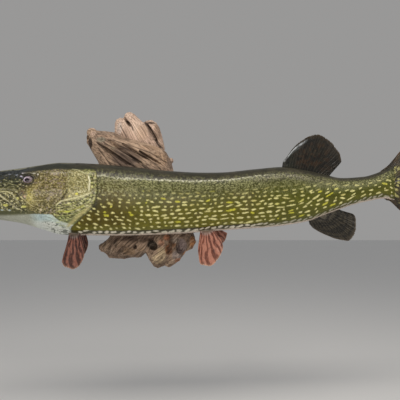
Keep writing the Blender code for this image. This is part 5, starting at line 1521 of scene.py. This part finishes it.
def build_teeth(forms, coat):
    """The teeth of both jaws and of the palate, all curved back towards the throat."""
    draw = random.Random(21)
    verts, ends, sides = [], [], []
    last = (TOOTH_RINGS - 1) * TOOTH_SIDES
    for rim, number, low, high, inset, heights, up in TOOTH_ROWS:
        for sign, k in ((sign, k) for sign in (-1.0, 1.0) for k in range(number)):
            share = k / (number - 1)
            x = low + (high - low) * share + draw.uniform(-.0008, .0008)
            z = float(along(rim, x))
            skin = side_point(np.array([x]), np.array([z - up * .001]), sign, forms)[0, 1]
            middle = in_middle((x, z))[1]
            y = middle + sign * max((skin - middle) * sign - inset, .002)
            size = heights[0] + (heights[1] - heights[0]) * math.sin(.5 * math.pi * share)
            size *= draw.uniform(.7, 1.12)
            root = np.array([x, y, z - up * TOOTH_ROOT])
            start = len(verts)
            verts += tooth_points(root, up, size + TOOTH_ROOT, draw.uniform(.16, .34), .17 * size + .0004)
            sides.append(hoops(TOOTH_RINGS, TOOTH_SIDES, start))
            top = start + last
            ends += [(top + i, top + (i + 1) % TOOTH_SIDES, top + TOOTH_SIDES) for i in range(TOOTH_SIDES)]
            ends += [(start, start + i + 1, start + i) for i in range(1, TOOTH_SIDES - 1)]
    item = new_mesh("teeth", np.array(verts), [np.array(ends), np.concatenate(sides)])
    turn_out(item)
    item.data.materials.append(coat)
    return item


def grain_place(x, z, plate, low):
    """A place in the wood measured along and across its grain."""
    def turned(dx, dz):
        size = math.hypot(dx, dz)
        return np.array([x * dx + z * dz, z * dx - x * dz]) / size

    return np.where(low, turned(.62, .6), np.where(plate, turned(.5, -.86), turned(.83, -.5)))


def wood_copy(source):
    """A copy of the solid driftwood with an even net of fine faces."""
    item = source.copy()
    item.data = source.data.copy()
    item.name = "driftwood_worn"
    item.parent = None
    for key in list(item.keys()):
        if key.startswith("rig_"):
            del item[key]
    bpy.context.scene.collection.objects.link(item)
    weld = item.modifiers.new("weld", "WELD")
    weld.merge_threshold = .00001
    remesh = item.modifiers.new("remesh", "REMESH")
    remesh.mode = "VOXEL"
    remesh.voxel_size = WOOD_VOXEL
    graph = bpy.context.evaluated_depsgraph_get()
    made = bpy.data.meshes.new_from_object(item.evaluated_get(graph))
    item.modifiers.clear()
    item.data = made
    made.polygons.foreach_set("use_smooth", np.full(len(made.polygons), True))
    made.materials.clear()
    return item


def three_of(mesh, name):
    """A value of three numbers at each point of a mesh."""
    values = np.empty(len(mesh.vertices) * 3, np.float32)
    mesh.vertices.foreach_get(name, values)
    return values.reshape(-1, 3).astype(float)


def wood_paint(x, y, z, plate, low, wear_and_shade):
    """Grey brown weathered wood, a tan plate, patches of painted light and shade, furrows and cracks darkened
    partly with painted shade, and the sawn back.
    """
    streak, furrow, crack, knob = wear_and_shade
    tone = ease(-.3, .4, rough(14, x * 22.0, y * 22.0, z * 22.0))
    colour = between((168, 146, 126), (134, 117, 104), tone)
    colour = np.where(plate[:, None], between((202, 180, 164), (188, 164, 148), tone), colour)
    colour = np.where(low[:, None], between((146, 126, 108), (104, 88, 76), tone), colour)
    for mx, mz, ax, az, tint, force in WOOD_MARKS:
        far = np.hypot((x - mx) / ax, (z - mz) / az) + .35 * knob
        near = (y < -.012) & (low == (mz < -.03))
        colour = mix(colour, srgb(*tint), force * ease(1.35, .75, far) * near)
    # the furrows, cracks and knob hollows are darker, partly the wood's own dark and partly painted shade
    return layered(
        colour,
        ((58, 48, 42), .55 * furrow),
        ((34, 26, 22), .9 * crack),
        ((186, 168, 150), .3 * ease(.15, .6, streak) * (crack < .3) * np.where(plate, .4, 1.0)),
        ((64, 50, 40), .6 * ease(-.1, -.5, knob) * low),
        ((150, 120, 86), ease(-.003, -.001, y)),
    )


def build_wood(source, coat):
    """The driftwood, worn along its grain."""
    item = wood_copy(source)
    made = item.data
    co, normal = three_of(made, "co"), three_of(made, "normal")
    x, y, z = co.T
    low = z < -.03
    past_chunk = outline_distance(curved(CHUNK_OUTLINE, .008), x, z) > 0.0
    plate = (~low) & (past_chunk | (y > -.045)) & (z > .02)
    a, b = grain_place(x, z, plate, low)
    b = b + .01 * rough(2, a * 12.0, b * 12.0, y * 12.0)
    streak = rough(4, a * 8.0, b * 150.0, y * 150.0)
    furrow = np.abs(noise(6, a * 5.0, b * 120.0, y * 120.0))
    furrow = .55 * ease(.16, 0.0, furrow) * np.where(plate, .15, 1.0)
    crack, carve = np.zeros(len(co)), np.zeros(len(co))
    crooked = x + .0006 * noise(87, x * 180.0, z * 180.0)
    for line, width, depth in WOOD_CRACKS:
        far, _ = line_distance(curved(line, .004, closed=False), crooked, z)
        near = bell(far, 0.0, width) * (y < -.012)
        crack = np.maximum(crack, near)
        carve = np.maximum(carve, .45 * depth * near)
    knob = rough(12, x * 90.0, y * 90.0, z * 90.0)
    rise = .0009 * streak - .001 * furrow - .0005
    rise = np.where(low, .0006 * streak - .0008 * furrow + .0022 * knob - .0012, rise)
    rise = rise + .0008 * rough(8, x * 38.0, y * 38.0, z * 38.0) - .0004 - carve
    # the flat sawn back stays flat, and the pocket under the fish stays clear
    body = np.abs(y - middle_y(x, z)) < along(HALF_WIDTH, x) + .006
    body = body & (z < along(TOP_LINE, x) + .006) & (z > along(BELLY_LINE, x) - .006)
    rise = np.where(body, np.minimum(rise, -.0004), rise)
    worn = co + normal * (rise * ease(-.0004, -.004, y))[:, None]
    worn[:, 1] = np.minimum(worn[:, 1], 0.0)
    made.vertices.foreach_set("co", worn.astype(np.float32).ravel())
    made.update()
    set_paint(item, wood_paint(x, y, z, plate, low, (streak, furrow, crack, knob)), coat)
    layer = made.attributes.new("grain", "FLOAT_VECTOR", "POINT")
    fine = 370.0 * np.where(plate, 1.7, 1.0)
    cells = np.stack([a * 6.0, b * fine, y * fine], axis=1)
    layer.data.foreach_set("vector", cells.astype(np.float32).ravel())
    return item


# the room: the floor's height, the world's colour and strength, and the camera
FLOOR_Z = -.62
WORLD_COLOUR = (.88, .87, .86, 1.0)
WORLD_STRENGTH = .36
CAMERA_AT = (.14, -.939, -.098)
CAMERA_PITCH = 95.4
CAMERA_LENS = 32.4
# name, place, looks at, width and height, watts
LIGHTS = (
    ("key_light", (.2, -1.25, 1.3), (.12, -.12, 0.0), (2.4, .35), 24.0),
    ("front_fill", (-.5, -1.9, -.28), (.1, -.12, 0.0), (1.8, .5), 14.0),
    ("side_fill", (1.8, -1.2, .6), (.2, -.12, 0.0), (.9, .9), 5.0),
)


def link(name, data, place):
    """A lamp's or camera's object at its place."""
    item = bpy.data.objects.new(name, data)
    item.location = place
    bpy.context.scene.collection.objects.link(item)
    return item


def build_room():
    """A plain pale floor, soft light and the camera."""
    bpy.ops.mesh.primitive_plane_add(size=60.0, location=(0.0, 0.0, FLOOR_Z))
    floor = bpy.context.object
    floor.name = "floor"
    made, tree, shader = shader_of("pale_floor")
    shader.inputs["Base Color"].default_value = (.8, .81, .82, 1.0)
    shader.inputs["Roughness"].default_value = .9
    floor.data.materials.append(made)
    world = bpy.data.worlds.new("room")
    world.use_nodes = True
    world.node_tree.nodes["Background"].inputs["Color"].default_value = WORLD_COLOUR
    world.node_tree.nodes["Background"].inputs["Strength"].default_value = WORLD_STRENGTH
    bpy.context.scene.world = world
    for name, place, aim, (width, height), watts in LIGHTS:
        data = bpy.data.lights.new(name, "AREA")
        data.shape = "RECTANGLE"
        data.size, data.size_y = width, height
        data.energy = watts
        data.color = (1.0, .93, .84)
        lamp = link(name, data, place)
        lamp.rotation_euler = (Vector(aim) - Vector(place)).to_track_quat("-Z", "Y").to_euler()
    camera = bpy.data.cameras.new("camera")
    camera.sensor_width = 36.0
    camera.lens = CAMERA_LENS
    eye = link("camera", camera, CAMERA_AT)
    eye.rotation_euler = (math.radians(CAMERA_PITCH), 0.0, 0.0)
    bpy.context.scene.camera = eye
    bpy.context.scene.view_settings.view_transform = "Standard"


# name, middle of the root, distance from the middle plane and spread
PAIRED_FINS = (("pectoral_fin_", (-.135, -.09), .022, .16), ("pelvic_fin_", (.152, -.085), .018, .14))


def paired(root, out, spread, sign):
    """The y of a fin of a pair, which stands further out the lower it is."""
    base = in_middle(root)[1]
    return lambda x, z: base + sign * (out + (root[1] - z) * spread)


def main():
    for item in list(bpy.data.objects):
        bpy.data.objects.remove(item)
    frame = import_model()
    build_room()
    forms = Relief()

    skin = build_skin(forms, varnished("varnished_head_skin", 700.0, .36, .55, .25, .0004, .25))
    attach(skin, "root")
    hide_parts("head", "lower_jaw", "gill_cover_l", "gill_cover_r", "torso", "tail_stem")
    for item in build_scales(forms, varnished("varnished_scales", 1200.0, .3, .46, .19, .0003, .2)):
        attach(item, "root")

    dark = fin_coat("dark_fin_web", (40, 32, 18), (10, 10, 8), .35, 110.0)
    grey = fin_coat("grey_fin_web", (62, 56, 44), (12, 11, 9), .3, 140.0)
    tail = fin_coat("tail_fin_web", (110, 80, 48), (24, 20, 16), .2, 90.0)
    red = fin_coat("red_fin_web", (160, 96, 72), (50, 18, 14), .18, 150.0)
    fins = [
        ("dorsal_fin", middle_y, dark, dark_fin_paint),
        ("anal_fin", middle_y, grey, grey_fin_paint),
        ("tail_fin_upper", middle_y, tail, tail_paint),
        ("tail_fin_lower", middle_y, tail, tail_paint),
    ]
    sides = (("l", -1.0), ("r", 1.0))
    for node, *place in PAIRED_FINS:
        fins += [(node + side, paired(*place, sign), red, red_fin_paint) for side, sign in sides]
    for seed, (node, depth, coat, paint) in enumerate(fins):
        item = build_fin(node, depth, coat, paint, seed + 1)
        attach(item, "root")
        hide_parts(node)

    glass = eye_coat()
    for side, sign in sides:
        item = build_eye("glass_eye_" + side, sign, glass)
        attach(item, "root")
        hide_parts("eye_" + side)
    item = build_teeth(forms, tooth_coat())
    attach(item, "root")
    item = build_wood(frame["nodes"]["driftwood"], wood_coat())
    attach(item, "root")
    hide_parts("driftwood")


main()
